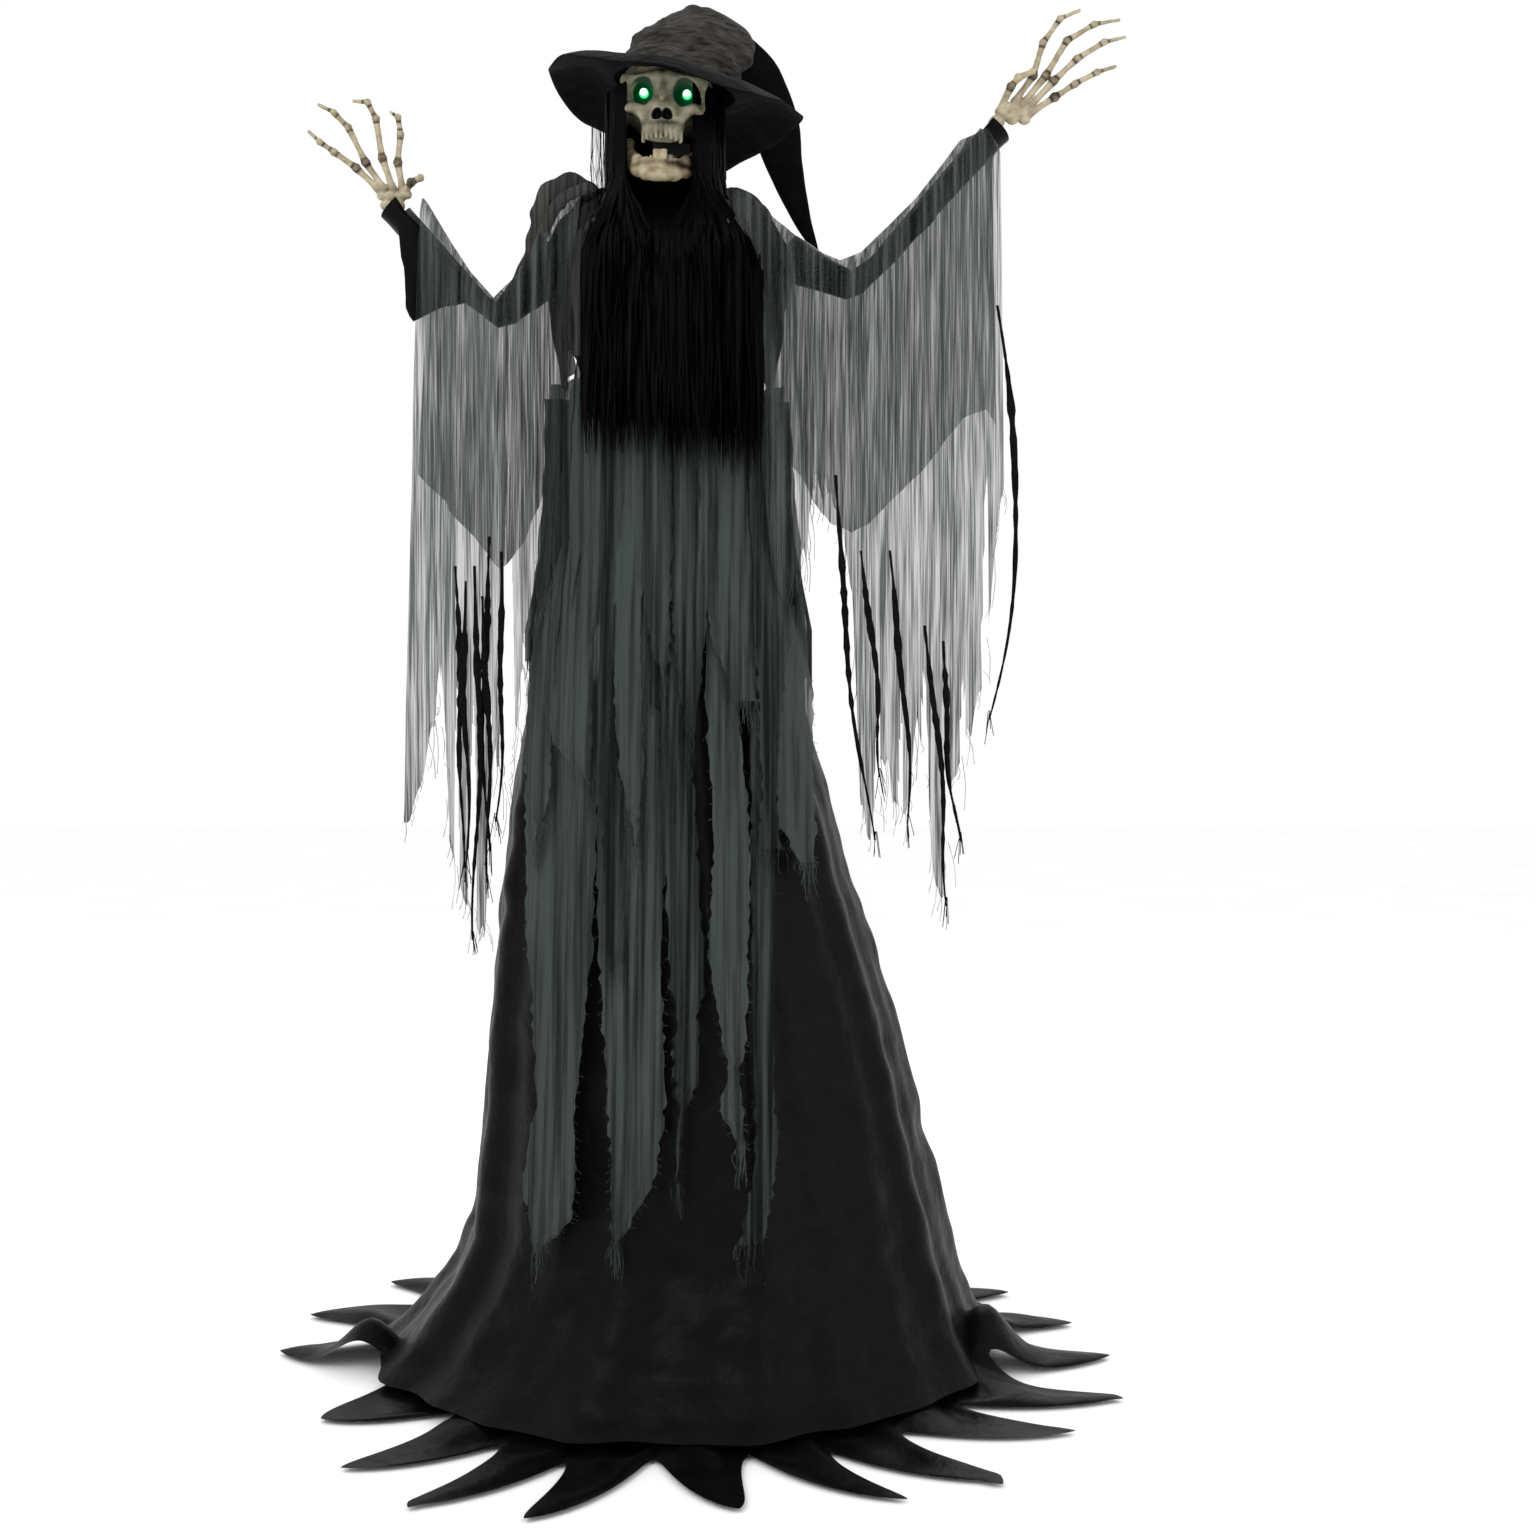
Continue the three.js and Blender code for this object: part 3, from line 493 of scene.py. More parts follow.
# The floor is a pale matt board, not part of the figure.
FLOOR = SolidFinish(
    "pale_studio_board", "#fcfcfd", "#ffffff", roughness=0.95,
    patch_mm=400, grain_mm=40, grain_depth=0.0,
)


# ---------- mesh helpers ----------
# Odd multipliers that scatter a lattice point's numbers over a 32-bit word.
SCATTER_X, SCATTER_Y, SCATTER_Z = 374761393, 668265263, 1013904223
SCATTER_SEED, SCATTER_AGAIN = 69069, 1274126177
WORD = 0xFFFFFFFF


def noise3(points: Array, size: float, seed: int = 0) -> Array:
    """Smooth value noise.

    Args:
        points: Places, with x, y and z on the last axis.
        size: How far apart the noise's lattice points are.
        seed: Picks the pattern.

    Returns:
        A value from -1 to 1 at each place.
    """
    scaled = np.asarray(points, float) / size
    base = np.floor(scaled).astype(np.int64)
    part = scaled - base
    part = part * part * (3 - 2 * part)
    total = np.zeros(scaled.shape[:-1])
    for corner in itertools.product((0, 1), repeat=3):
        at = base + np.array(corner)
        spread = at[..., 0] * SCATTER_X + at[..., 1] * SCATTER_Y + at[..., 2] * SCATTER_Z
        mixed = (spread + seed * SCATTER_SEED) & WORD
        mixed = ((mixed ^ (mixed >> 13)) * SCATTER_AGAIN) & WORD
        value = ((mixed ^ (mixed >> 16)) & 0xFFFF) / 32767.5 - 1
        weight = np.prod(np.where(np.array(corner), part, 1 - part), axis=-1)
        total += weight * value
    return total


def through(places: Array, knots: Sequence[Sequence[float]]) -> Array:
    """Values between knots, each a place and its value or values, joined by straight lines.

    Args:
        places: Where the values are wanted.
        knots: Rows of a place and one or more values, in rising order of place.

    Returns:
        One value, or one row of values, for each place.
    """
    table = np.asarray(knots, float)
    columns = [np.interp(places, table[:, 0], table[:, i]) for i in range(1, table.shape[1])]
    return columns[0] if len(columns) == 1 else np.stack(columns, -1)


def spline(knots: Array, count: int) -> Array:
    """Points along a smooth curve through knots.

    Args:
        knots: The points that the curve passes through.
        count: How many points to return.

    Returns:
        The points, as an array of count rows.
    """
    p = np.asarray(knots, float)
    p = np.vstack([2 * p[0] - p[1], p, 2 * p[-1] - p[-2]])
    t = np.linspace(0, len(p) - 3 - 1e-9, count)
    i = t.astype(int)
    f = (t - i)[:, None]
    a, b, c, d = p[i], p[i + 1], p[i + 2], p[i + 3]
    return 0.5 * (2 * b + (c - a) * f + (2 * a - 5 * b + 4 * c - d) * f**2 + (3 * b - a - 3 * c + d) * f**3)


def grid_faces(
    rows: int, cols: int, wrap: bool = False, keep: Array | None = None, close: bool = False,
) -> Array:
    """The four-sided faces of a grid of points.

    Args:
        rows: Rows of points.
        cols: Points in a row.
        wrap: Whether the last point of a row joins the first.
        keep: Which faces to keep, by row and column.
        close: Whether the last row joins the first.

    Returns:
        Corner numbers, four to a face.
    """
    r = np.arange(rows if close else rows - 1)[:, None]
    c = np.arange(cols if wrap else cols - 1)[None, :]
    low, high = r * cols, (r + 1) % rows * cols
    near, far = c, (c + 1) % cols
    faces = np.stack([low + near, low + far, high + far, high + near], -1)
    return faces[keep] if keep is not None else faces.reshape(-1, 4)


@dataclass
class Cloth:
    """Mesh parts gathered into one piece."""

    vertices: list[Array] = field(default_factory=list)
    faces: list[Array] = field(default_factory=list)
    shades: list[Array] = field(default_factory=list)
    shade: float = 0.0  # how much lighter or darker what is added next is drawn
    count: int = 0

    def add(self, points: Array, faces: Array) -> "Cloth":
        """Adds points and the faces between them."""
        points = np.asarray(points, float).reshape(-1, 3)
        self.shades.append(np.full(len(points), self.shade))
        self.vertices.append(points)
        self.faces.append(np.asarray(faces) + self.count)
        self.count += len(points)
        return self

    def grid(
        self, points: Array, wrap: bool = False, keep: Array | None = None, close: bool = False,
    ) -> "Cloth":
        """Adds a grid of points, with its rows on the first axis."""
        return self.add(points, grid_faces(points.shape[0], points.shape[1], wrap, keep, close))

    def ribbon(self, path: Array, widths: Array, across: Array, cup: float = 0.0) -> "Cloth":
        """Adds a ribbon three points wide.

        Args:
            path: Points along the middle.
            widths: Width at each point.
            across: The direction of its width, one for all or one for each point.
            cup: How far the middle stands off the edges, as a share of the width.

        Returns:
            The same cloth.
        """
        across = np.broadcast_to(np.asarray(across, float), path.shape)
        along = np.gradient(path, axis=0)
        normal = np.cross(along, across)
        normal /= np.linalg.norm(normal, axis=1, keepdims=True) + 1e-9
        half = widths[:, None] / 2
        rows = np.stack([path - across * half, path + normal * half * 2 * cup, path + across * half], 1)
        return self.grid(rows)

    def tube(
        self, path: Array, radii: Array, sides: int = 8, flat: float = 1.0, twist: float = 0.0,
    ) -> "Cloth":
        """Adds a tube with closed ends.

        Args:
            path: Points along the middle.
            radii: Radius at each point.
            sides: How many sides it has.
            flat: Its thickness over its width.
            twist: How far it turns along its length, in radians.

        Returns:
            The same cloth.
        """
        along = np.gradient(path, axis=0)
        along /= np.linalg.norm(along, axis=1, keepdims=True)
        first = np.cross(along, [0.0, 1.0, 0.13])
        first /= np.linalg.norm(first, axis=1, keepdims=True)
        second = np.cross(along, first)
        turn = np.linspace(0, 2 * np.pi, sides, endpoint=False)[None, :]
        turn = turn + np.linspace(0, twist, len(path))[:, None]
        wide = np.cos(turn)[..., None] * first[:, None, :]
        deep = np.sin(turn)[..., None] * second[:, None, :] * flat
        rings = path[:, None, :] + (wide + deep) * radii[:, None, None]
        start = self.count
        self.grid(rings, wrap=True)
        last = start + (len(path) - 1) * sides
        for base, step in ((start, -1), (last, 1)):
            cap = [base + (step * i) % sides for i in range(sides)]
            for i in range(1, sides - 1, 2):
                far = cap[i + 2] if i + 2 < sides else cap[i + 1]
                self.faces.append(np.array([[cap[0], cap[i], cap[i + 1], far]]))
        return self

    def build(
        self, name: str, finish: Finish, attributes: dict[str, Array] | None = None,
    ) -> bpy.types.Object:
        """Makes the piece.

        Args:
            name: The piece's name.
            finish: What it is finished in.
            attributes: Numbers for each point, by the name of the attribute.

        Returns:
            The new object.
        """
        points = np.vstack(self.vertices)
        faces = np.vstack(self.faces)
        used = np.unique(faces)
        place = np.zeros(len(points), int)
        place[used] = np.arange(len(used))
        rows = []
        for row in place[faces].tolist():
            corners = list(dict.fromkeys(row))
            if len(corners) > 2:
                rows.append(corners)
        mesh = bpy.data.meshes.new(name)
        mesh.from_pydata(points[used].tolist(), [], rows)
        mesh.polygons.foreach_set("use_smooth", [True] * len(mesh.polygons))
        for label, values in {"shade": np.concatenate(self.shades), **(attributes or {})}.items():
            layer = mesh.attributes.new(label, "FLOAT", "POINT")
            layer.data.foreach_set("value", values[used].astype(np.float32))
        mesh.validate()
        mesh.materials.append(finish.material())
        made = bpy.data.objects.new(name, mesh)
        bpy.context.scene.collection.objects.link(made)
        return made


def report(piece: bpy.types.Object) -> bpy.types.Object:
    """Says in the log what was built, and hands it back."""
    area = sum(face.area for face in piece.data.polygons)
    LOG.info("%s: %d faces, %.3f square metres", piece.name, len(piece.data.polygons), area)
    return piece


# ---------- carving ----------
def smooth_min(a: Array, b: Array, blend: float) -> Array:
    """The lower of two fields, rounded where they meet over a width of blend."""
    if blend <= 0:
        return np.minimum(a, b)
    share = np.clip(0.5 + 0.5 * (b - a) / blend, 0, 1)
    return b + (a - b) * share - blend * share * (1 - share)


def ellipsoid(centre: Sequence[float], radii: Sequence[float]) -> Shape:
    """An ellipsoid's distance field."""
    middle = np.array(centre, np.float32)
    sizes = np.array(radii, np.float32)

    def distance(p: Array) -> Array:
        """Distance from points to the ellipsoid."""
        q = (p - middle) / sizes
        near = np.linalg.norm(q, axis=-1)
        steep = np.linalg.norm(q / sizes, axis=-1) + 1e-6
        return near * (near - 1) / steep

    return distance


def bone(start: Sequence[float], end: Sequence[float], shaft: float, knob: float, tip: float = 0.0) -> Shape:
    """A bone's distance field: a slim shaft with a knob at each end.

    Args:
        start: One end.
        end: The other end.
        shaft: Radius at the middle.
        knob: Radius at the start.
        tip: Radius at the end, or the knob's if it is zero.

    Returns:
        The distance from points to the bone.
    """
    a = np.array(start, np.float32)
    way = np.array(end, np.float32) - a
    far = tip or knob

    def distance(p: Array) -> Array:
        """Distance from points to the bone."""
        t = np.clip((p - a) @ way / float(way @ way), 0, 1)
        first = (knob - shaft) * np.clip(1 - 2 * t, 0, 1) ** 2.5
        last = (far - shaft) * np.clip(2 * t - 1, 0, 1) ** 2.5
        return np.linalg.norm(p - a - t[..., None] * way, axis=-1) - (shaft + first + last)

    return distance


def block(centre: Sequence[float], half: Sequence[float], turn: float = 0.0, rounding: float = 1.2) -> Shape:
    """A rounded block's distance field, turned about Z."""
    middle = np.array(centre, np.float32)
    sizes = np.array(half, np.float32) - rounding
    c, s = math.cos(turn), math.sin(turn)

    def distance(p: Array) -> Array:
        """Distance from points to the block."""
        q = p - middle
        x = q[..., 0] * c + q[..., 1] * s
        y = -q[..., 0] * s + q[..., 1] * c
        d = np.abs(np.stack([x, y, q[..., 2]], -1)) - sizes
        return np.linalg.norm(np.maximum(d, 0), axis=-1) + np.minimum(d.max(-1), 0) - rounding

    return distance


class Clay:
    """A distance field in millimetres on a grid of points, added to and carved like clay."""

    def __init__(self, low: Sequence[float], high: Sequence[float], cell: float) -> None:
        """Starts an empty block of space between two corners."""
        self.low = np.array(low, float)
        self.cell = cell
        axes = [np.arange(a, b + cell, cell, dtype=np.float32) for a, b in zip(low, high)]
        self.points = np.stack(np.meshgrid(*axes, indexing="ij"), -1)
        self.field = np.full(self.points.shape[:-1], 1e3, np.float32)

    def add(self, shape: Shape, blend: float = 0.0) -> "Clay":
        """Adds a shape."""
        self.field = smooth_min(self.field, shape(self.points), blend)
        return self

    def carve(self, shape: Shape, blend: float = 0.0) -> "Clay":
        """Takes a shape away."""
        self.field = -smooth_min(-self.field, shape(self.points), blend)
        return self

    def roughen(self, depth: float, size: float, seed: int) -> "Clay":
        """Pushes the surface in and out with noise."""
        self.field = self.field + depth * noise3(self.points, size, seed).astype(np.float32)
        return self

    def snapshot(self) -> "Clay":
        """The clay as it stands: adding and carving make a new field, so this one is kept."""
        return copy.copy(self)

    def surface(self) -> tuple[Array, Array]:
        """The clay's surface.

        Returns:
            Points in millimetres, and faces of four corners that face out.
        """
        f = self.field
        inside = f < 0
        cells = tuple(n - 1 for n in f.shape)
        sums = np.zeros(cells + (3,), np.float32)
        counts = np.zeros(cells, np.float32)
        edges = []
        for axis in range(3):
            low, high = [slice(None)] * 3, [slice(None)] * 3
            low[axis], high[axis] = slice(0, -1), slice(1, None)
            a, b = f[tuple(low)], f[tuple(high)]
            crossing = inside[tuple(low)] != inside[tuple(high)]
            part = np.where(crossing, a / np.where(crossing, a - b, 1), 0)
            others = [i for i in range(3) if i != axis]
            for offsets in itertools.product((0, 1), repeat=2):
                view = [slice(None)] * 3
                for other, offset in zip(others, offsets):
                    view[other] = slice(offset, offset + cells[other])
                hit = crossing[tuple(view)]
                counts += hit
                sums[..., axis] += part[tuple(view)]
                for other, offset in zip(others, offsets):
                    sums[..., other] += hit * offset
            edges.append((np.argwhere(crossing), inside[tuple(low)]))
        mixed = counts > 0
        number = np.full(cells, -1)
        number[mixed] = np.arange(mixed.sum())
        points = self.low + (np.argwhere(mixed) + sums[mixed] / counts[mixed][:, None]) * self.cell
        faces = []
        for axis, (at, within) in enumerate(edges):
            u, v = (axis + 1) % 3, (axis + 2) % 3
            ok = (at[:, u] > 0) & (at[:, v] > 0) & (at[:, u] < cells[u]) & (at[:, v] < cells[v])
            at = at[ok]
            du, dv = np.eye(3, dtype=int)[u], np.eye(3, dtype=int)[v]
            quad = np.stack([number[tuple((at - step).T)] for step in (du + dv, dv, 0 * du, du)], -1)
            flip = ~within[tuple(at.T)]
            quad[flip] = quad[flip][:, ::-1]
            faces.append(quad)
        return points, np.vstack(faces)


# ---------- head ----------
@dataclass
class Head:
    """The skull, its jaw and the two lamps, laid out in millimetres up from the neck joint."""

    neck: float  # height of the neck joint, in metres
    shift: float = -8.0  # of the whole head along x
    rise: float = 0.008  # of the whole head over the neck joint, in metres
    lean: float = math.radians(2.0)
    eye_x: float = 29.5
    eye_z: float = 146.0
    socket: float = 16.0
    cell: float = 1.5

    def place(self, points: Array) -> Array:
        """Turns the head's millimetres to metres in the figure's frame."""
        x, y, z = np.moveaxis(np.asarray(points, float), -1, 0)
        c, s = math.cos(self.lean), math.sin(self.lean)
        placed = np.stack([x * c + z * s + self.shift, y, -x * s + z * c], -1) * MM
        return placed + [0, 0, self.neck + self.rise]

    def tooth_row(self, count: int, half: float, front: float, root: float, tip: float) -> list[Shape]:
        """Teeth round an arch.

        Args:
            count: How many teeth.
            half: Half the width of the arch.
            front: The arch's foremost y.
            root: Height of the roots.
            tip: Height of the biting edges.

        Returns:
            One shape for each tooth.
        """
        row = []
        for part in np.linspace(-1, 1, count):
            uneven = 1.2 * math.sin(7.3 * part + root)
            long = abs(tip - root) / 2 + (1.5 if abs(part) < 0.2 else 0)
            middle = (root + tip) / 2 + uneven * 0.5
            width = half / count * 0.76
            at = (part * half, front + 24 * part * part, middle)
            row.append(block(at, (width, 3.2, long), part * 0.75, 1.6))
        return row

    def skull_envelope(self) -> list[tuple[Shape, float]]:
        """The skull's outer shapes before anything is carved, each with its blend."""
        shapes = [
            (ellipsoid((0, 12, 164), (66, 86, 58)), 0.0),
            (ellipsoid((0, -50, 116), (33, 34, 32)), 12.0),
            (ellipsoid((0, -62, 96), (27, 24, 20)), 8.0),
            (bone((0, -76, 160), (0, -91, 131), 5, 7, 3.5), 6.0),
        ]
        for side in (-1, 1):
            shapes += [
                (bone((side * 8, -76, 165), (side * 50, -58, 163), 7, 8, 9), 8.0),
                (bone((side * 50, -58, 163), (side * 49, -52, 132), 6, 8, 8), 6.0),
                (ellipsoid((side * 40, -60, 122), (13, 18, 11)), 8.0),
                (bone((side * 46, -50, 124), (side * 62, 14, 126), 4.5, 7, 7), 7.0),
                (bone((side * 32, -66, 122), (side * 20, -72, 100), 6, 8, 6), 6.0),
            ]
        return shapes

    def sculpt_skull(self) -> tuple[Clay, Clay]:
        """Carves the skull, and keeps its uncarved envelope to measure recesses by."""
        clay = Clay((-80, -108, 66), (80, 106, 230), self.cell)
        for shape, blend in self.skull_envelope():
            clay.add(shape, blend)
        envelope = clay.snapshot()
        for side in (-1, 1):
            x = side * self.eye_x
            clay.carve(ellipsoid((x, -84, self.eye_z), (self.socket + 1.5, 44, self.socket + 3)), 2.5)
            clay.carve(ellipsoid((x, -68, self.eye_z), (self.socket + 0.5, 42, self.socket + 2)), 2.5)
            clay.carve(bone((side * 4.5, -98, 126), (side * 7.4, -80, 111), 6.0, 4.2, 7.2), 1.5)
            clay.carve(ellipsoid((side * 7.2, -84, 113), (6.6, 18, 8.5)), 1.5)
            clay.carve(ellipsoid((side * 46, -58, 100), (15, 30, 17)), 8.0)
            clay.carve(ellipsoid((side * 86, -2, 150), (21, 30, 28)), 12.0)
        clay.carve(ellipsoid((0, -34, 80), (25, 34, 17)), 4.0)
        clay.roughen(0.7, 11.0, 3)
        for tooth in self.tooth_row(9, 25, -86, 101, 78):
            clay.add(tooth, 0.8)
        return clay, envelope

    def sculpt_jaw(self) -> tuple[Clay, Clay]:
        """Models the jaw with its lower teeth."""
        clay = Clay((-68, -108, 14), (68, 36, 118), self.cell)
        arch = [(47, -2, 66), (43, -30, 56), (33, -56, 43), (19, -77, 33), (0, -84, 31)]
        for side in (-1, 1):
            points = [(side * x, y, z) for x, y, z in arch]
            for a, b in zip(points, points[1:]):
                clay.add(bone(a, b, 8.5, 8.5), 6.0)
                clay.add(bone(np.add(a, (0, 2, 14)), np.add(b, (0, 2, 14)), 6.0, 6.0), 8.0)
            clay.add(bone((side * 47, 2, 62), (side * 49, 9, 98), 6, 9, 6.5), 8.0)
            clay.add(bone((side * 46, -14, 66), (side * 48, -10, 92), 5, 8, 4), 8.0)
            clay.add(ellipsoid((side * 9, -86, 28), (9, 8, 7)), 6.0)
        envelope = clay.snapshot()
        clay.carve(ellipsoid((0, -40, 66), (30, 36, 20)), 4.0)
        clay.roughen(0.6, 9.0, 8)
        for tooth in self.tooth_row(9, 24, -84, 44, 57):
            clay.add(tooth, 0.8)
        clay.add(block((-5, -86.5, 55), (4.6, 3.4, 8), 0, 1.6), 0.8)
        clay.add(block((4.6, -86.5, 55.5), (4.6, 3.4, 8), 0, 1.6), 0.8)
        return clay, envelope

    def stain_and_shade(self, points: Array, envelope: Clay, gums: tuple[float, float], gum_y: float) -> Array:
        """How dark each point is drawn: painted shade, partly real staining too, in deep recesses and the
        gaps of the teeth, painted shade inside the mouth, and real staining at the roots of the teeth and in
        patches.

        Args:
            points: Places on the bone, in millimetres.
            envelope: The bone before it was carved.
            gums: Lowest and highest point of the gums.
            gum_y: How far back the front of the gums reaches.

        Returns:
            A share from 0 to 1 for each point.
        """
        at = np.clip(np.rint((points - envelope.low) / envelope.cell).astype(int), 0, None)
        at = np.minimum(at, np.array(envelope.field.shape) - 1)
        depth = -envelope.field[tuple(at.T)]
        # painted shade, partly real staining: the deeper a point lies inside the uncarved envelope, the
        # darker it is drawn
        sunk = np.clip((depth - 1.0) / 7, 0, 1)
        low, high = gums
        root = np.exp(-(((points[:, 2] - high) / 5.0) ** 2)) * (points[:, 1] < gum_y) * 0.35
        # painted shade inside the mouth, behind the teeth
        inner = ((points[:, 2] > low) & (points[:, 2] < high) & (points[:, 1] > gum_y + 18)) * 0.5
        patch = np.clip(noise3(points, 22.0, 5), 0, 1) * 0.35
        return np.clip(sunk + root + inner + patch, 0, 1)

    def lit(self, points: Array) -> Array:
        """How strongly the lamps light each point: most in the sockets, nearest the lamps."""
        total = np.zeros(len(points))
        for side in (-1, 1):
            lamp = np.array([side * self.eye_x + 3, -46.0, self.eye_z])
            away = np.linalg.norm((points - lamp) * [1, 0.7, 1], axis=1)
            total += 0.45 * np.exp(-((away / 11) ** 2))
        return total

    def build_skull(self) -> bpy.types.Object:
        """Makes the skull."""
        clay, envelope = self.sculpt_skull()
        points, faces = clay.surface()
        stain_and_shade = self.stain_and_shade(points, envelope, (76, 100), -62)
        made = Cloth().add(self.place(points), faces)
        skull = made.build("skull", SKULL_BONE, {"stain_and_shade": stain_and_shade, "lit": self.lit(points)})
        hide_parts("skull_front", "skull_rear")
        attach(skull, "head")
        return report(skull)

    def build_jaw(self) -> bpy.types.Object:
        """Makes the jaw."""
        clay, envelope = self.sculpt_jaw()
        points, faces = clay.surface()
        stain_and_shade = self.stain_and_shade(points, envelope, (40, 46), -58)
        # painted shade: the jaw is drawn darker towards its right side, from 20 mm right of the head's middle
        # outwards
        stain_and_shade = np.clip(stain_and_shade + np.clip((points[:, 0] - 20) / 60, 0, 0.35), 0, 1)
        jaw = Cloth().add(self.place(points), faces).build("lower_jaw", JAW_BONE, {"stain_and_shade": stain_and_shade})
        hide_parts("jaw")
        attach(jaw, "jaw")
        return report(jaw)

    def build_lamp(self, side: Side) -> bpy.types.Object:
        """Makes one domed lamp with a collar, deep in its socket."""
        middle = np.array([side.sign * self.eye_x + 1.5, -44.0, self.eye_z + 5])
        # radius and y, from the middle of the dome out to the collar
        profile = [
            (0.0, -9.5), (2.4, -9.0), (4.3, -7.4), (5.4, -4.8),
            (5.6, 0.0), (6.6, 0.6), (6.8, 3.0), (5.6, 4.0),
        ]
        turns = np.linspace(0, 2 * np.pi, 24, endpoint=False)
        rings = np.array([[(r * math.cos(t), y, r * math.sin(t)) for t in turns] for r, y in profile])
        rings[0, :, 0] = 0
        rings[0, :, 2] = 0
        glow = np.repeat(np.clip([1.5 - r / 4.6 for r, _ in profile], 0, 1), len(turns))
        lens = Cloth().grid(self.place(rings + middle), wrap=True)
        made = lens.build(f"lamp_lens_{side.value}", LAMP, {"glow": glow})
        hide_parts(f"eye_lamp_{side.value}")
        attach(made, "head")
        return report(made)


# ---------- hat ----------
@dataclass
class Hat:
    """The slouched witch hat: a saddle brim, a crumpled crown and a flat tail that hangs behind."""

    centre: Array  # middle of the brim's box
    head_half: float = 0.084
    oval: float = 1.12
    half_width: float = 0.177
    # rim height over the brim's middle, by direction in degrees from +X
    rim: tuple = (
        (0, -0.04), (45, -0.046), (70, -0.068), (90, -0.056), (112, -0.036), (140, -0.012), (180, 0.03),
        (215, 0.012), (245, -0.014), (270, -0.032), (292, -0.044), (320, -0.048), (345, -0.042),
        (360, -0.04),
    )
    # the crown's outline from the foot up: left x, right x and height, in metres from the brim's middle
    crown: tuple = (
        (-0.086, 0.088, 0.000), (-0.078, 0.086, 0.018), (-0.064, 0.098, 0.040), (-0.050, 0.106, 0.058),
        (-0.034, 0.102, 0.076), (-0.016, 0.084, 0.090), (0.010, 0.064, 0.099), (0.034, 0.046, 0.101),
    )
    # the tail's middle line from its root down: x, y, z and width, in metres from the brim's middle
    tail: tuple = (
        (0.080, 0.060, 0.088, 0.040), (0.118, 0.110, 0.052, 0.062), (0.140, 0.148, -0.006, 0.070),
        (0.156, 0.160, -0.066, 0.052), (0.178, 0.163, -0.136, 0.028), (0.203, 0.160, -0.194, 0.006),
    )

    def inner_height(self, turn: Array) -> Array:
        """Height of the head opening's edge, which tips down to the right."""
        return -0.0148 * np.cos(turn) + 0.002

    def build_brim(self) -> bpy.types.Object:
        """Makes the brim as one closed felt ring with a turned edge."""
        turn = np.linspace(0, 2 * np.pi, 144, endpoint=False)
        rim = through(np.degrees(turn), self.rim)
        wave = 0.004 * np.sin(3 * turn + 0.6) + 0.003 * np.sin(7 * turn)
        rows = []
        for part in np.linspace(0, 1, 14):
            radius = self.head_half + (self.half_width - self.head_half) * part
            wide = radius * (1 + 0.012 * np.sin(5 * turn + 1) * part)
            height = self.inner_height(turn) * (1 - part) + rim * part + 0.012 * math.sin(math.pi * part)
            deep = wide * self.oval * 0.88 * np.sin(turn)
            rows.append(np.stack([wide * np.cos(turn), deep, height + wave * part], -1))
        top = np.array(rows)
        crease = noise3(top, 0.03, 4)[..., None] * [0, 0, 0.0022]
        top = top + crease
        under = top[::-1] - [0, 0, 0.0024]
        edge = (top[-1:] + under[:1]) / 2 * [1.006, 1.006, 1]
        closed = np.concatenate([top, edge, under]) + self.centre
        brim = Cloth().grid(closed, wrap=True, close=True).build("hat_brim_cloth", HAT_CLOTH)
        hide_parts("hat_brim")
        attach(brim, "head")
        return report(brim)

    def build_crown(self) -> bpy.types.Object:
        """Makes the crumpled crown."""
        turn = np.linspace(0, 2 * np.pi, 128, endpoint=False)
        levels = np.linspace(0, 1, 46)
        outline = spline(np.array(self.crown), len(levels))
        rows = []
        for part, (left, right, height) in zip(levels, outline):
            middle, half = (left + right) / 2, (right - left) / 2
            deep = 0.092 * math.sqrt(max(0.0, 1 - part**2.2)) + 0.004
            rows.append(np.stack([
                middle + half * np.cos(turn), deep * np.sin(turn) + 0.01 * part, np.full_like(turn, height),
            ], -1))
        rows = np.array(rows)
        rows[..., 2] += self.inner_height(turn)[None, :] * (1 - levels[:, None])
        slanted = rows @ np.array([[0.8, 0, 0.6], [0, 1, 0], [-0.6, 0, 0.8]])
        folds = noise3(slanted * [1.0, 1.0, 3.2], 0.05, 11) * 0.0085
        folds = folds + noise3(slanted * [1, 1, 2.6], 0.02, 12) * 0.0035
        fade = (np.sin(np.pi * np.clip(levels, 0.02, 0.9)) ** 0.5)[:, None, None]
        away = rows - [0.02, 0, 0.02]
        away /= np.linalg.norm(away, axis=-1, keepdims=True)
        rows = rows + away * folds[..., None] * fade
        peak = np.broadcast_to(rows[-1].mean(0), (1,) + rows[-1].shape)
        made = Cloth().grid(np.concatenate([rows, peak]) + self.centre, wrap=True)
        crown = made.build("hat_crown_cloth", HAT_GAUZE)
        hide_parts("hat_crown")
        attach(crown, "head")
        return report(crown)

    def build_tail(self) -> bpy.types.Object:
        """Makes the flattened point of the hat, which folds over and hangs behind."""
        knots = np.array(self.tail)
        path = spline(knots[:, :3], 40)
        width = spline(knots[:, 3:], 40)[:, 0]
        path = path + noise3(path, 0.03, 21)[:, None] * [0.003, 0.006, 0]
        made = Cloth().tube(path + self.centre, width / 2, 20, flat=0.16)
        tail = made.build("hat_point_cloth", HAT_CLOTH)
        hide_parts("hat_tail")
        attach(tail, "head")
        return report(tail)


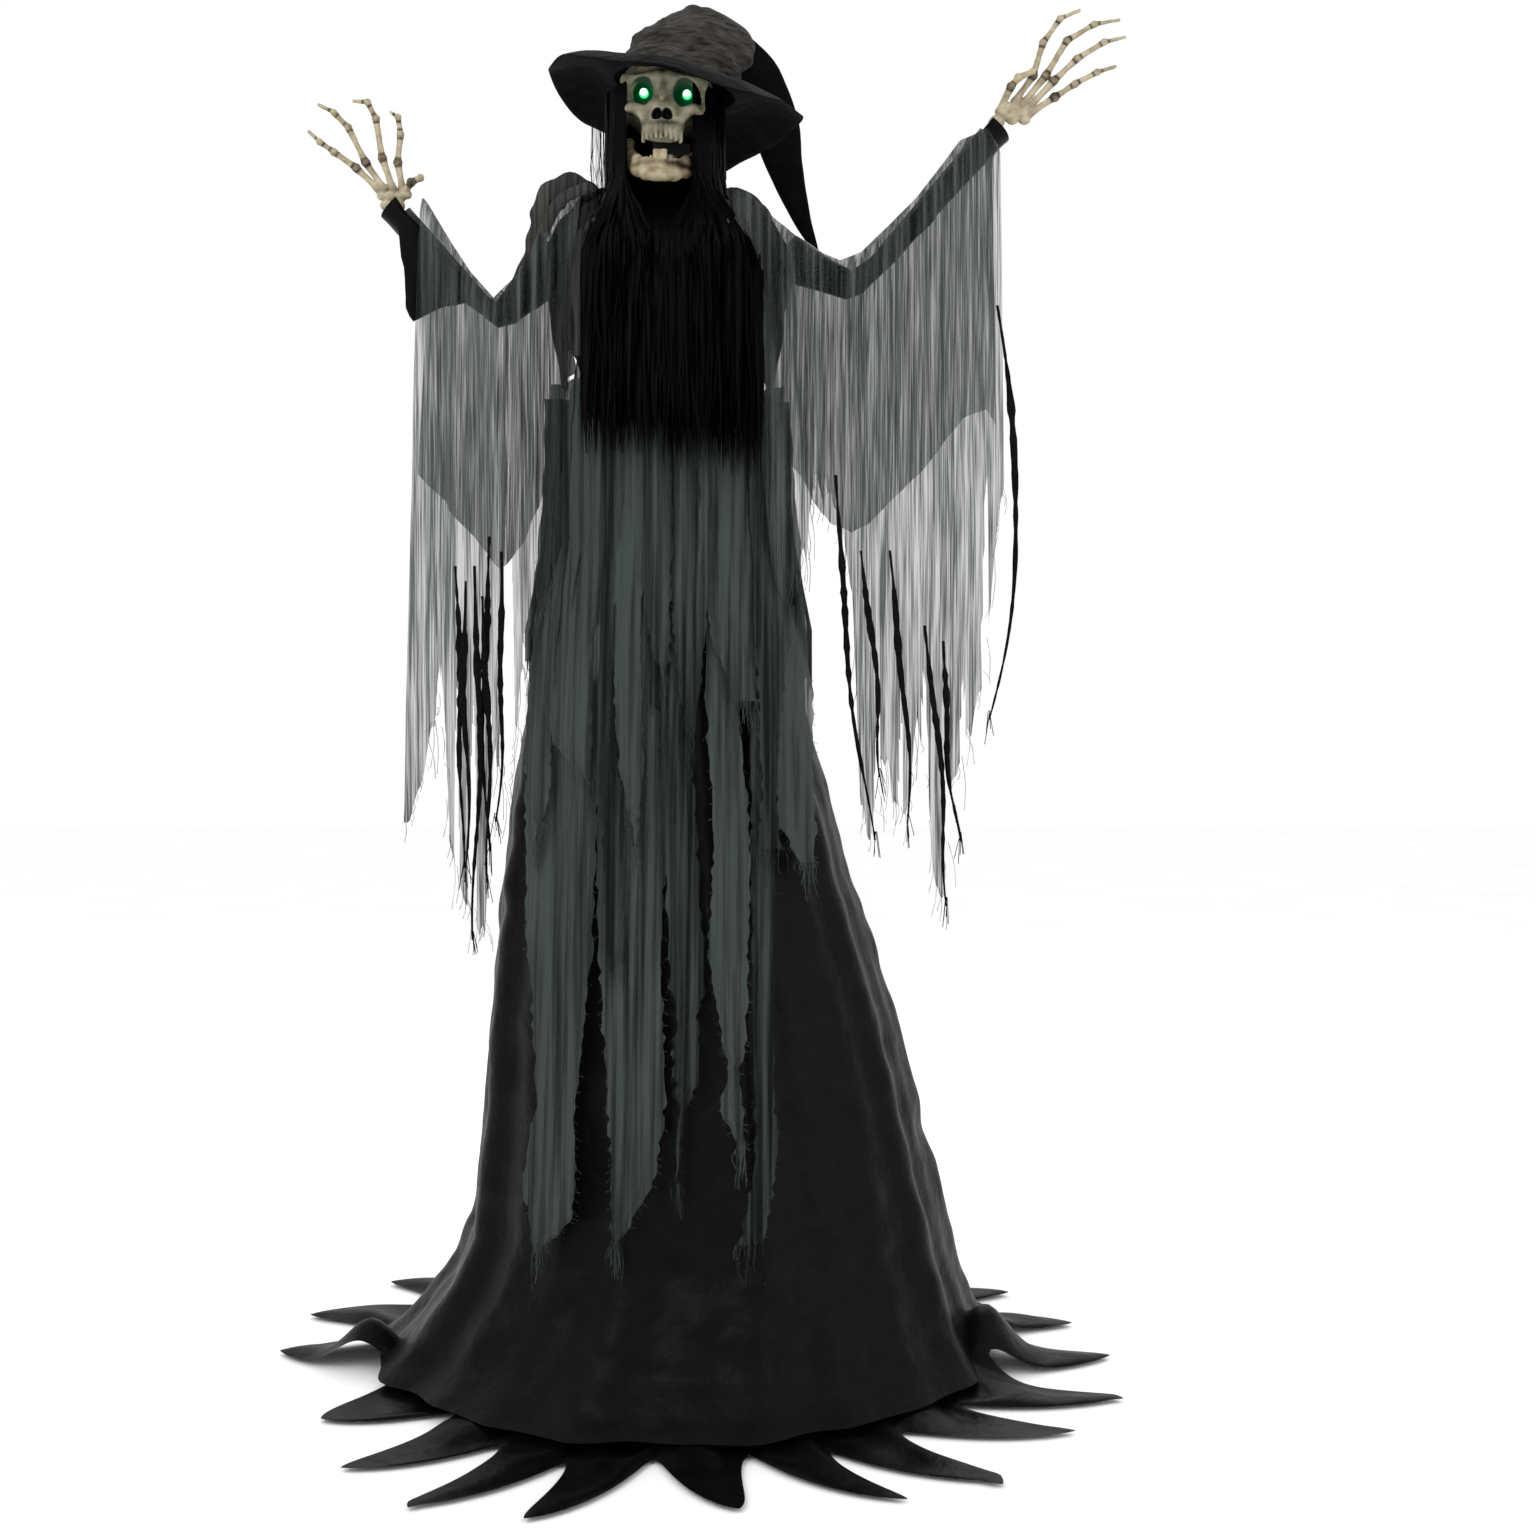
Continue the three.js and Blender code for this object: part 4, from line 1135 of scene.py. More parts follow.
# ---------- wig ----------
@dataclass
class Wig:
    """Long straight hair from under the hat to the chest and the back."""

    rng: np.random.Generator
    scalp: Array  # middle of the head at brow height
    dress: "Dress"
    scalp_half: tuple[float, float] = (0.074, 0.094)
    top: float = 1.742  # height at which the hair beside the face starts
    chin: float = 1.61  # height below which the hair spreads over the dress
    loose_from: float = 0.0855  # a strand that starts further out than this is a thin loose one

    def strand(
        self, root: Array, target: float, low: float, front: bool, layer: float,
    ) -> tuple[Array, Array]:
        """One strand's path and width: it falls straight past the face, then spreads over the dress.

        Args:
            root: Where it starts.
            target: The x that its tip comes to.
            low: Height of its tip.
            front: Whether it lies on the chest or on the back.
            layer: 0 for next to the body, 1 for outermost.

        Returns:
            Points down the strand, and its width at each.
        """
        heights = low + (root[2] - low) * np.linspace(1, 0, 9)
        fall = np.clip((self.chin - heights) / 0.10, 0, 1)
        fall = fall * fall * (3 - 2 * fall)
        body = self.dress.surface(target, np.minimum(heights, 1.5), front, 0.036 + 0.016 * layer)
        x = root[0] + (target - root[0]) * fall
        y = root[1] * (1 - fall) + body * fall
        path = spline(np.stack([x, y, heights], -1), 24)
        t = np.linspace(0, 1, len(path))
        for i, (a, b) in enumerate(self.rng.normal(0, 0.002, (4, 2))):
            path[:, 0] += a * np.sin((i + 1) * 3.1 * t + 3000 * b) * t
            path[:, 1] += 0.6 * b * np.cos((i + 1) * 2.3 * t) * t
        loose = abs(root[0]) > self.loose_from
        width = (0.005 + 0.005 * self.rng.random()) * np.clip((1 - t) * 4, 0.1, 1) * (0.25 if loose else 1.0)
        return path, width

    def panel(self, name: str, draw: Callable[[], tuple[Array, float, bool]], count: int,
              tips: tuple[float, float], nodes: Sequence[str]) -> bpy.types.Object:
        """One panel of strands.

        Args:
            name: The piece's name.
            draw: Picks a strand's root, the x of its tip, and whether it lies in front.
            count: How many strands.
            tips: Lowest and highest tip.
            nodes: The CAD nodes that it stands for.

        Returns:
            The new piece.
        """
        hair = Cloth()
        for _ in range(count):
            root, target, front = draw()
            low = tips[0] + (tips[1] - tips[0]) * self.rng.random() ** 1.3
            path, width = self.strand(root, target, low, front, self.rng.random())
            turn = math.atan2(root[1] - self.scalp[1], root[0] - self.scalp[0]) + self.rng.normal(0, 0.25)
            hair.ribbon(path, width, (-math.sin(turn), math.cos(turn), 0), cup=0.18)
        made = hair.build(name, WIG)
        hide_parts(*nodes)
        return made

    def beside_face(self, inner: float, outer: float, chest: float) -> tuple[Array, float, bool]:
        """Draws a strand that falls beside the face, between two places on x, on to the chest."""
        part = self.rng.random()
        root = np.array([inner + (outer - inner) * part, -0.064 + 0.052 * part, self.top])
        return root, chest * self.rng.random() ** 0.8, True

    def under_chin(self) -> tuple[Array, float, bool]:
        """Draws a strand that comes out from behind the jaw."""
        x = self.rng.uniform(-0.066, 0.066)
        return np.array([x, -0.03, 1.64]), x * 1.5 + 0.008, True

    def round_back(self) -> tuple[Array, float, bool]:
        """Draws a strand that leaves the sides or the back of the head."""
        turn = self.rng.uniform(-0.12, math.pi + 0.12)
        wide, deep = self.scalp_half
        root = self.scalp + [wide * math.cos(turn), deep * math.sin(turn), 0.03]
        return root, root[0] * 1.3, False

    def flyaway(self) -> tuple[Array, float, bool]:
        """Draws a loose strand that stands off the left side."""
        return np.array([self.rng.uniform(-0.104, -0.086), -0.03, 1.70]), self.rng.uniform(-0.14, -0.09), True

    def build(self) -> None:
        """Makes the hair panels, whose strands fall straight past the face and bend smoothly on to the dress.
        """
        panels = (
            ("wig_left", lambda: self.beside_face(-0.056, -0.084, -0.108), 560, (1.225, 1.40), ["hair_left"]),
            ("wig_right", lambda: self.beside_face(0.041, 0.078, 0.130), 560, (1.20, 1.38), ["hair_right"]),
            ("wig_rear", self.round_back, 900, (1.24, 1.40), ["hair_rear", "hair_cap"]),
            ("wig_throat", self.under_chin, 460, (1.24, 1.44), []),
            ("wig_flyaway", self.flyaway, 22, (1.46, 1.60), []),
        )
        for name, draw, count, tips, nodes in panels:
            made = self.panel(name, draw, count, tips, nodes)
            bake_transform(made)
            report(made)


# ---------- hands ----------
@dataclass
class Hand:
    """A hand of separate-looking bones on its wrist."""

    side: Side
    # x and z of palm joint, knuckle, first joint, second joint and tip of each finger, in millimetres
    fingers: tuple
    thumb: tuple
    carpals: tuple  # x, z and radius of each wrist bone, in millimetres
    depths: tuple = (-85, -92, -100, -106, -110)  # y of each finger joint, in millimetres
    thumb_depth: float = -102
    cell: float = 1.25

    def build(self) -> bpy.types.Object:
        """Models the bones and stains the joints."""
        chains = [[(x, y, z) for (x, z), y in zip(row, self.depths)] for row in self.fingers]
        thumb = [(x, self.thumb_depth if i else -88, z) for i, (x, z) in enumerate(self.thumb)]
        everything = np.array([p for chain in chains for p in chain] + thumb)
        spots = np.array(self.carpals)
        low = np.minimum(everything.min(0), [spots[:, 0].min(), -85, spots[:, 1].min()]) - 20
        high = np.maximum(everything.max(0), [spots[:, 0].max(), -85, spots[:, 1].max()]) + 20
        clay = Clay(low, high, self.cell)
        for chain in chains:
            for i, (a, b) in enumerate(zip(chain, chain[1:])):
                shaft = (4.2, 3.8, 3.4, 2.5)[i]
                knob = (6.2, 5.8, 5.2, 4.4)[i]
                clay.add(bone(a, b, shaft, knob, (6.2, 5.2, 4.5, 2.2)[i]), 1.2)
        for i, (a, b) in enumerate(zip(thumb, thumb[1:])):
            clay.add(bone(a, b, 4.8 - 0.4 * i, 6.4 - 0.4 * i, 6.0 - 0.6 * i), 1.5)
        for i, (x, z, size) in enumerate(self.carpals):
            clay.add(ellipsoid((x, -84 - 3 * (i % 2), z), (size, size * 0.95, size * 0.85)), 1.6)
        clay.roughen(0.45, 6.0, 31)
        points, faces = clay.surface()
        joints = np.array([p for chain in chains for p in chain[1:4]] + thumb[1:2])
        near = np.min(np.linalg.norm(points[:, None, :] - joints[None], axis=-1), axis=1)
        stain_and_shade = 0.5 * np.exp(-(((near - 7.0) / 1.6) ** 2))
        palm = np.array([c[0] for c in chains])
        base = np.min(np.linalg.norm(points[:, None, :] - palm[None], axis=-1), axis=1)
        stain_and_shade = np.maximum(stain_and_shade, 0.45 * np.exp(-((base / 7) ** 2)))
        stain_and_shade = np.clip(stain_and_shade + 0.15 * np.clip(noise3(points, 12.0, 7), 0, 1), 0, 1)
        moulding = Cloth().add(points * MM, faces)
        made = moulding.build(f"hand_bones_{self.side.value}", HAND_BONE, {"stain_and_shade": stain_and_shade})
        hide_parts(f"hand_{self.side.value}")
        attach(made, f"hand_{self.side.value}")
        return report(made)


# ---------- dress ----------
@dataclass
class Dress:
    """The black satin dress: bodice and skirt in one, with the train round its foot."""

    # height, left edge, right edge and half depth, in metres
    outline: tuple = (
        (0.02, -0.41, 0.462, 0.428), (0.04, -0.385, 0.448, 0.4), (0.075, -0.352, 0.43, 0.37),
        (0.13, -0.312, 0.41, 0.344), (0.19, -0.284, 0.395, 0.322), (0.33, -0.268, 0.358, 0.29),
        (0.475, -0.258, 0.322, 0.262), (0.65, -0.24, 0.264, 0.226), (0.85, -0.213, 0.208, 0.188),
        (1.0, -0.168, 0.168, 0.148), (1.12, -0.128, 0.128, 0.106), (1.3, -0.128, 0.128, 0.106),
        (1.45, -0.108, 0.108, 0.09), (1.51, -0.092, 0.092, 0.078), (1.545, -0.06, 0.06, 0.052),
    )
    # direction in degrees and reach in millimetres of each point of the train
    tips: tuple = (
        (15, 578), (32, 560), (50, 585), (68, 560), (86, 590), (104, 565), (122, 585), (141, 560), (161, 565),
        (183, 548), (215, 514), (235, 577), (250, 620), (261, 604), (277, 569), (292, 605), (302, 630),
        (321, 599), (334, 620), (353, 598),
    )
    valley: float = 0.73  # reach of the hollows between the points, as a share of the points'
    usual_tip: float = 0.585  # reach of a middling point
    train_inner: float = 0.34  # where the train starts, under the skirt
    train_shift: float = 0.012
    slack: float = 0.006
    fold_depth: float = 0.012

    def section(self, height: float | Array) -> Array:
        """Centre, half width and half depth at a height."""
        left, right, deep = np.moveaxis(through(np.asarray(height, float), self.outline), -1, 0)
        return np.stack([(left + right) / 2, (right - left) / 2, deep], -1)

    def surface(
        self, x: float | Array, height: float | Array, front: bool, off: float | Array,
    ) -> float | Array:
        """The y of a point that stands off the dress, at a place across its front or back."""
        centre, wide, deep = np.moveaxis(self.section(height), -1, 0)
        part = np.clip(np.abs(x - centre) / (wide + off), 0, 0.995)
        return (-1 if front else 1) * (deep + off) * np.sqrt(1 - part**2.4)

    def build_skirt(self) -> bpy.types.Object:
        """Makes the dress with folds that open towards the hem."""
        turn = np.linspace(0, 2 * np.pi, 300, endpoint=False)
        heights = np.concatenate([
            np.linspace(0.020, 0.2, 40), np.linspace(0.21, 1.0, 90), np.linspace(1.01, 1.545, 50),
        ])
        centre, wide, deep = np.moveaxis(self.section(heights), -1, 0)
        flare = np.clip((1.05 - heights) / 1.0, 0, 1)[:, None]
        folds = 0.55 * np.sin(9 * turn + 0.8) + 0.45 * np.sin(14 * turn + 2.1)
        folds = folds + 0.35 * np.sin(23 * turn + 0.3)
        depth = -self.slack - self.fold_depth * flare**0.8 * (1 - folds[None, :]) / 1.2
        grid = np.stack([
            centre[:, None] + (wide[:, None] + depth) * np.cos(turn),
            (deep[:, None] + depth) * np.sin(turn),
            np.broadcast_to(heights[:, None], (len(heights), len(turn))),
        ], -1)
        wrinkle = noise3(grid * [1, 1, 1.7], 0.075, 41) * 0.004
        wrinkle = wrinkle + noise3(grid * [1, 1, 1.3], 0.03, 42) * 0.0014
        out = np.stack([np.cos(turn), np.sin(turn), 0 * turn], -1)[None]
        grid = grid + out * (wrinkle * (0.35 + flare))[..., None]
        made = Cloth().grid(grid, wrap=True)
        skirt = made.build("witch_dress", BLACK_SATIN)
        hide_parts("dress_front", "dress_rear")
        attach(skirt, "root")
        return report(skirt)

    def spread(self, degrees: Array) -> Array:
        """The train's reach in each direction, in metres: long points with hollows between them."""
        table = [(a, r * MM) for a, r in self.tips]
        table = [(table[-1][0] - 360, table[-1][1])] + table + [(table[0][0] + 360, table[0][1])]
        reach = np.zeros_like(degrees)
        for (a, ra), (b, rb) in zip(table, table[1:]):
            inside = (degrees >= a) & (degrees < b)
            part = (degrees[inside] - a) / (b - a)
            away = np.minimum(part, 1 - part) * 2
            tip = np.where(part < 0.5, ra, rb)
            hollow = self.valley * min(ra, rb)
            swell = 0.65 * np.cos(np.pi / 2 * away) ** 2 + 0.35 * (1 - away)
            reach[inside] = hollow + (tip - hollow) * swell
        return reach

    def build_train(self) -> bpy.types.Object:
        """Makes the train: cloth that runs out over the floor to clawed points."""
        degrees = np.linspace(0, 360, 1080, endpoint=False)
        reach = self.spread(degrees)
        hollow = self.valley * self.usual_tip
        rows = []
        for part in np.linspace(0, 1, 26) ** 0.9:
            radius = self.train_inner + (reach - self.train_inner) * part
            beyond = np.clip((radius - hollow) / 0.18, 0, 1)
            towards = np.sin(np.radians(2 * degrees))
            hook = -np.sign(towards) * np.abs(towards) ** 0.4
            turn = np.radians(degrees + hook * (9.0 * beyond**1.6 - 2.0 * beyond))
            ripple = 0.5 + 0.5 * np.sin(np.radians(degrees) * 17 + 5 * part)
            height = 0.005 + 0.012 * ripple * (1 - part) ** 0.5
            height = height + 0.006 * np.sin(radius * 60 + degrees / 7) * (1 - part)
            for at, tall, wide in ((-9.0, 0.075, 9.0), (8.0, 0.04, 6.0), (190.0, 0.05, 7.0)):
                gone = (degrees - at + 180) % 360 - 180
                ruck = tall * np.exp(-((gone / wide) ** 2))
                height = height + ruck * np.exp(-(((radius - 0.42) / 0.05) ** 2))
            x = radius * np.cos(turn) + self.train_shift
            rows.append(np.stack([x, radius * np.sin(turn), height], -1))
        made = Cloth().grid(np.array(rows), wrap=True)
        train = made.build("clawed_train", BLACK_SATIN)
        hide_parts("train_front", "train_rear")
        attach(train, "root")
        return report(train)


@dataclass
class SatinSleeve:
    """A black under-sleeve, from the shoulder to a cuff that hangs open below the wrist."""

    side: Side
    shoulder: Array
    elbow: Array
    wrist: Array
    # place along the arm from 0 at the shoulder, half width, how far it hangs, and how far the hem swings out
    stations: tuple

    def build(self) -> bpy.types.Object:
        """Makes the sleeve as one tube that opens towards the cuff."""
        upper = np.linalg.norm(self.elbow - self.shoulder)
        fore = np.linalg.norm(self.wrist - self.elbow)
        bend = upper / (upper + fore)
        line = np.array([self.shoulder, self.elbow, self.wrist])
        places = np.linspace(0.1, 1.0, 54)
        path = np.stack([np.interp(places, [0, bend, 1], line[:, i]) for i in range(3)], -1)
        soft = np.exp(-(((places - bend) / 0.12) ** 2))[:, None] * [0, 0, 0.012]
        path = path + soft
        table = through(places, self.stations)
        way = np.gradient(path, axis=0)
        way /= np.linalg.norm(way, axis=1, keepdims=True)
        up = np.cross(way, [0.0, 1.0, 0.0]) * -self.side.sign
        up /= np.linalg.norm(up, axis=1, keepdims=True)
        turn = np.linspace(0, 2 * np.pi, 48, endpoint=False)
        rows = []
        for at, along_up, (half, hang, swing), place in zip(path, up, table, places):
            lower = np.clip(-np.sin(turn), 0, 1) ** 1.2
            ring = at + np.outer(np.sin(turn) * half, along_up)
            ring[:, 1] += np.cos(turn) * half * (1.15 - 0.5 * lower * min(1.0, hang / 0.06))
            ring[:, 2] -= lower * hang
            ring[:, 0] += lower * swing * self.side.sign
            ring += noise3(ring * [1, 1, 1.4], 0.035, 51)[:, None] * [0.002, 0.003, 0.003]
            rows.append(ring)
        made = Cloth().grid(np.array(rows), wrap=True)
        name = f"satin_sleeve_{self.side.value}"
        sleeve = made.build(name, BLACK_SATIN)
        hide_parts(f"dress_sleeve_{self.side.value}")
        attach(sleeve, f"arm_{self.side.value}")
        return report(sleeve)


# ---------- gauze ----------
@dataclass
class Robe:
    """The torn cheesecloth robe over the dress, front and back."""

    dress: Dress
    rng: np.random.Generator
    # each strip: how far it stands off the dress, then rows of height, left x and right x, in millimetres
    strips: tuple
    body: tuple  # top, bottom, left and right of the whole cloth above the strips, in millimetres
    rag: float = 0.0035  # how far a torn edge wanders

    def strip(self, cloth: Cloth, front: bool, off: float, rows: Sequence[tuple], seed: int) -> None:
        """Adds one torn strip with ragged edges and threads at its end.

        Args:
            cloth: What to add it to.
            front: Whether it hangs in front.
            off: How far it stands off the dress, in millimetres.
            rows: Height, left x and right x in millimetres, from the top.
            seed: Picks its raggedness.
        """
        knots = np.array(rows, float) * MM
        count = max(12, int((knots[0, 0] - knots[-1, 0]) / 0.008))
        line = np.linspace(0, 1, count)
        spread = np.linspace(0, 1, len(knots))
        height = np.interp(line, spread, knots[:, 0])
        edges = through(-height, np.column_stack([-knots[:, 0], knots[:, 1:]]))
        ragged = noise3(np.stack([height * 0, height * 0 + seed, height], -1), 0.009, seed) * self.rag
        other = noise3(np.stack([height * 0 + 3, height * 0 + seed, height], -1), 0.009, seed + 1) * self.rag
        left, right = edges[:, 0] + ragged, edges[:, 1] + other
        across = np.linspace(0, 1, 15)
        x = left[:, None] + (right - left)[:, None] * across
        z = np.broadcast_to(height[:, None], x.shape)
        fold = np.sin(across * 9 + seed)[None, :] * 0.003 + np.sin(height * 21 + seed)[:, None] * 0.0025
        y = self.dress.surface(x, z, front, off * MM + 0.004) + fold * (1 if front else -1)
        cloth.grid(np.stack([x, y, z], -1))
        self.fray(cloth, x[-1], y[-1], height[-1], 0.05)
        for row in range(3, count - 1, 2):
            for edge, sign in ((0, -1), (-1, 1)):
                if self.rng.random() < 0.6:
                    start = np.array([x[row, edge], y[row, edge], height[row]])
                    end = start + [sign * self.rng.uniform(0.002, 0.007), 0, -self.rng.uniform(0.001, 0.006)]
                    cloth.ribbon(np.linspace(start, end, 3), np.full(3, 0.0007), (0, 0, 1))

    def fray(self, cloth: Cloth, x: Array, y: Array, height: float, longest: float) -> None:
        """Adds loose threads that hang from a torn end."""
        for i in range(len(x)):
            for _ in range(2):
                length = longest * self.rng.uniform(0.15, 1.0) ** 2 + 0.006
                start = np.array([x[i] + self.rng.normal(0, 0.0015), y[i], height + 0.004])
                end = start + [self.rng.normal(0, 0.004), self.rng.normal(0, 0.002), -length]
                middle = (start + end) / 2 + [self.rng.normal(0, 0.003), 0, 0]
                cloth.ribbon(spline(np.array([start, middle, end]), 7), np.full(7, 0.0008), (1, 0, 0))

    def tears(self, columns: int, bottom: float) -> Array:
        """Where the cloth ends below each column: strips of different lengths with slits between them.

        Args:
            columns: How many columns of cloth.
            bottom: Height of the longest strip's foot.

        Returns:
            A height for each column.
        """
        foot = np.empty(columns)
        column = 0
        while column < columns:
            wide, slit = self.rng.integers(4, 12), self.rng.integers(1, 3)
            end = bottom + 0.20 * self.rng.random() ** 1.4
            ragged = self.rng.uniform(-0.012, 0.012, wide)
            foot[column : column + wide] = (end + ragged)[: columns - column]
            foot[column + wide : column + wide + slit] = self.rng.uniform(1.08, 1.30)
            column += wide + slit
        return foot

    def build_side(self, front: bool) -> bpy.types.Object:
        """Makes the front or the back of the robe."""
        cloth = Cloth()
        top, bottom, left, right = (value * MM for value in self.body)
        columns = np.linspace(left, right, 168)
        heights = np.linspace(top, bottom, 130)
        x, z = np.meshgrid(columns, heights)
        inward = 1 - 0.42 * np.clip((z - 1.0) / 0.42, 0, 1)
        x = x * inward
        pleat = np.sin(columns * 165 + 0.7 * np.sin(columns * 47))[None, :] * 0.0045
        y = self.dress.surface(x, np.minimum(z, 1.5), front, 0.009) + pleat * (1 if front else -1)
        keep = z > self.tears(len(columns), bottom)[None, :]
        # the cloth under the strips is drawn darker than the strips
        cloth.shade = -0.13
        cloth.grid(np.stack([x, y, z], -1), keep=keep[:-1, :-1])
        for i, (off, rows) in enumerate(self.strips):
            cloth.shade = 0.14 * math.sin(2.4 * i + 0.6) + 0.03
            shown = rows if front else [(z, -right_, -left_) for z, left_, right_ in rows]
            self.strip(cloth, front, off, shown, 80 + i + (0 if front else 40))
        label = "front" if front else "rear"
        made = cloth.build(f"gauze_robe_{label}", ROBE_GAUZE)
        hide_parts(f"robe_{label}")
        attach(made, "root")
        return report(made)


@dataclass
class Shawl:
    """A charcoal gauze collar, bunched over the shoulders, with a knot on the left one."""

    crest: float = 1.562  # height of its upper fold
    shoulder_rise: float = 0.054
    front_dip: float = 0.03

    def build(self) -> bpy.types.Object:
        """Makes the collar as a gathered sheet that rises over each shoulder."""
        turn = np.linspace(0, 2 * np.pi, 260, endpoint=False)
        side = np.abs(np.cos(turn))
        front = np.clip(-np.sin(turn), 0, 1)
        # reach along x, reach along y, and height, from the neck edge outwards
        crest = self.crest + self.shoulder_rise * side**1.5 - self.front_dip * front
        stations = [
            (0.060 + 0 * turn, 0.062 + 0 * turn, crest - 0.014),
            (0.084 + 0 * turn, 0.074 + 0 * turn, crest),
            (0.116 + 0 * turn, 0.086 + 0 * turn, crest - 0.016),
            (0.150 + 0 * turn, 0.094 + 0 * turn, 1.548 - 0.012 * front + 0.012 * side),
            (0.172 + 0 * turn, 0.100 + 0 * turn, 1.500 + 0 * turn),
            (0.160 + 0 * turn, 0.106 + 0 * turn, 1.440 - 0.03 * front),
            (0.142 + 0 * turn, 0.112 + 0 * turn, 1.370 - 0.05 * front + 0.03 * np.sin(7 * turn)),
        ]
        knots = np.array([np.stack([rx * np.cos(turn), ry * np.sin(turn), z], -1) for rx, ry, z in stations])
        rows = np.stack([spline(knots[:, i], 44) for i in range(len(turn))], 1)
        gather = np.sin(turn * 31 + 1.3 * np.sin(turn * 5))[None, :, None] * 0.0035
        crease = noise3(rows * [1.6, 1.6, 0.6], 0.03, 91)[..., None] * 0.006
        out = np.stack([np.cos(turn), np.sin(turn), 0 * turn + 0.5], -1)[None]
        rows = rows + out * (gather + crease)
        cloth = Cloth().grid(rows, wrap=True)
        self.knot(cloth)
        made = cloth.build("gauze_shawl", SHOULDER_GAUZE)
        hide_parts("shawl")
        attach(made, "root")
        return report(made)

    def knot(self, cloth: Cloth) -> None:
        """Adds the twisted roll of cloth on the left shoulder."""
        roll = spline(np.array([
            (-0.098, -0.020, 1.600), (-0.128, -0.045, 1.606), (-0.160, -0.055, 1.582),
            (-0.172, -0.050, 1.548), (-0.186, -0.055, 1.500), (-0.214, -0.062, 1.452),
        ]), 40)
        thick = ((0, 0.010), (0.3, 0.021), (0.5, 0.017), (0.7, 0.013), (1, 0.007))
        radii = through(np.linspace(0, 1, 40), thick)
        cloth.tube(roll, radii * (1 + 0.12 * np.sin(np.arange(40))), 14, flat=0.7, twist=5.0)
        over = np.array([(-0.100, -0.080, 1.596), (-0.140, -0.092, 1.572), (-0.168, -0.070, 1.530)])
        band = spline(over, 24)
        cloth.tube(band, np.full(24, 0.008), 10, flat=0.6, twist=4.0)


@dataclass(frozen=True)
class SleeveCut:
    """How one gauze sleeve is cut and torn."""

    # place along the arm line: x and z of the cloth's top edge, in millimetres
    line: tuple
    # x at the line, x at the foot, height of the torn foot, in millimetres
    foot: tuple
    slits: tuple  # x, top height, width at the foot, in millimetres
    twists: tuple  # x and height at the top, x and height at the tip, and how far it bows out, in millimetres
    area: float  # the flat cloth, in square metres


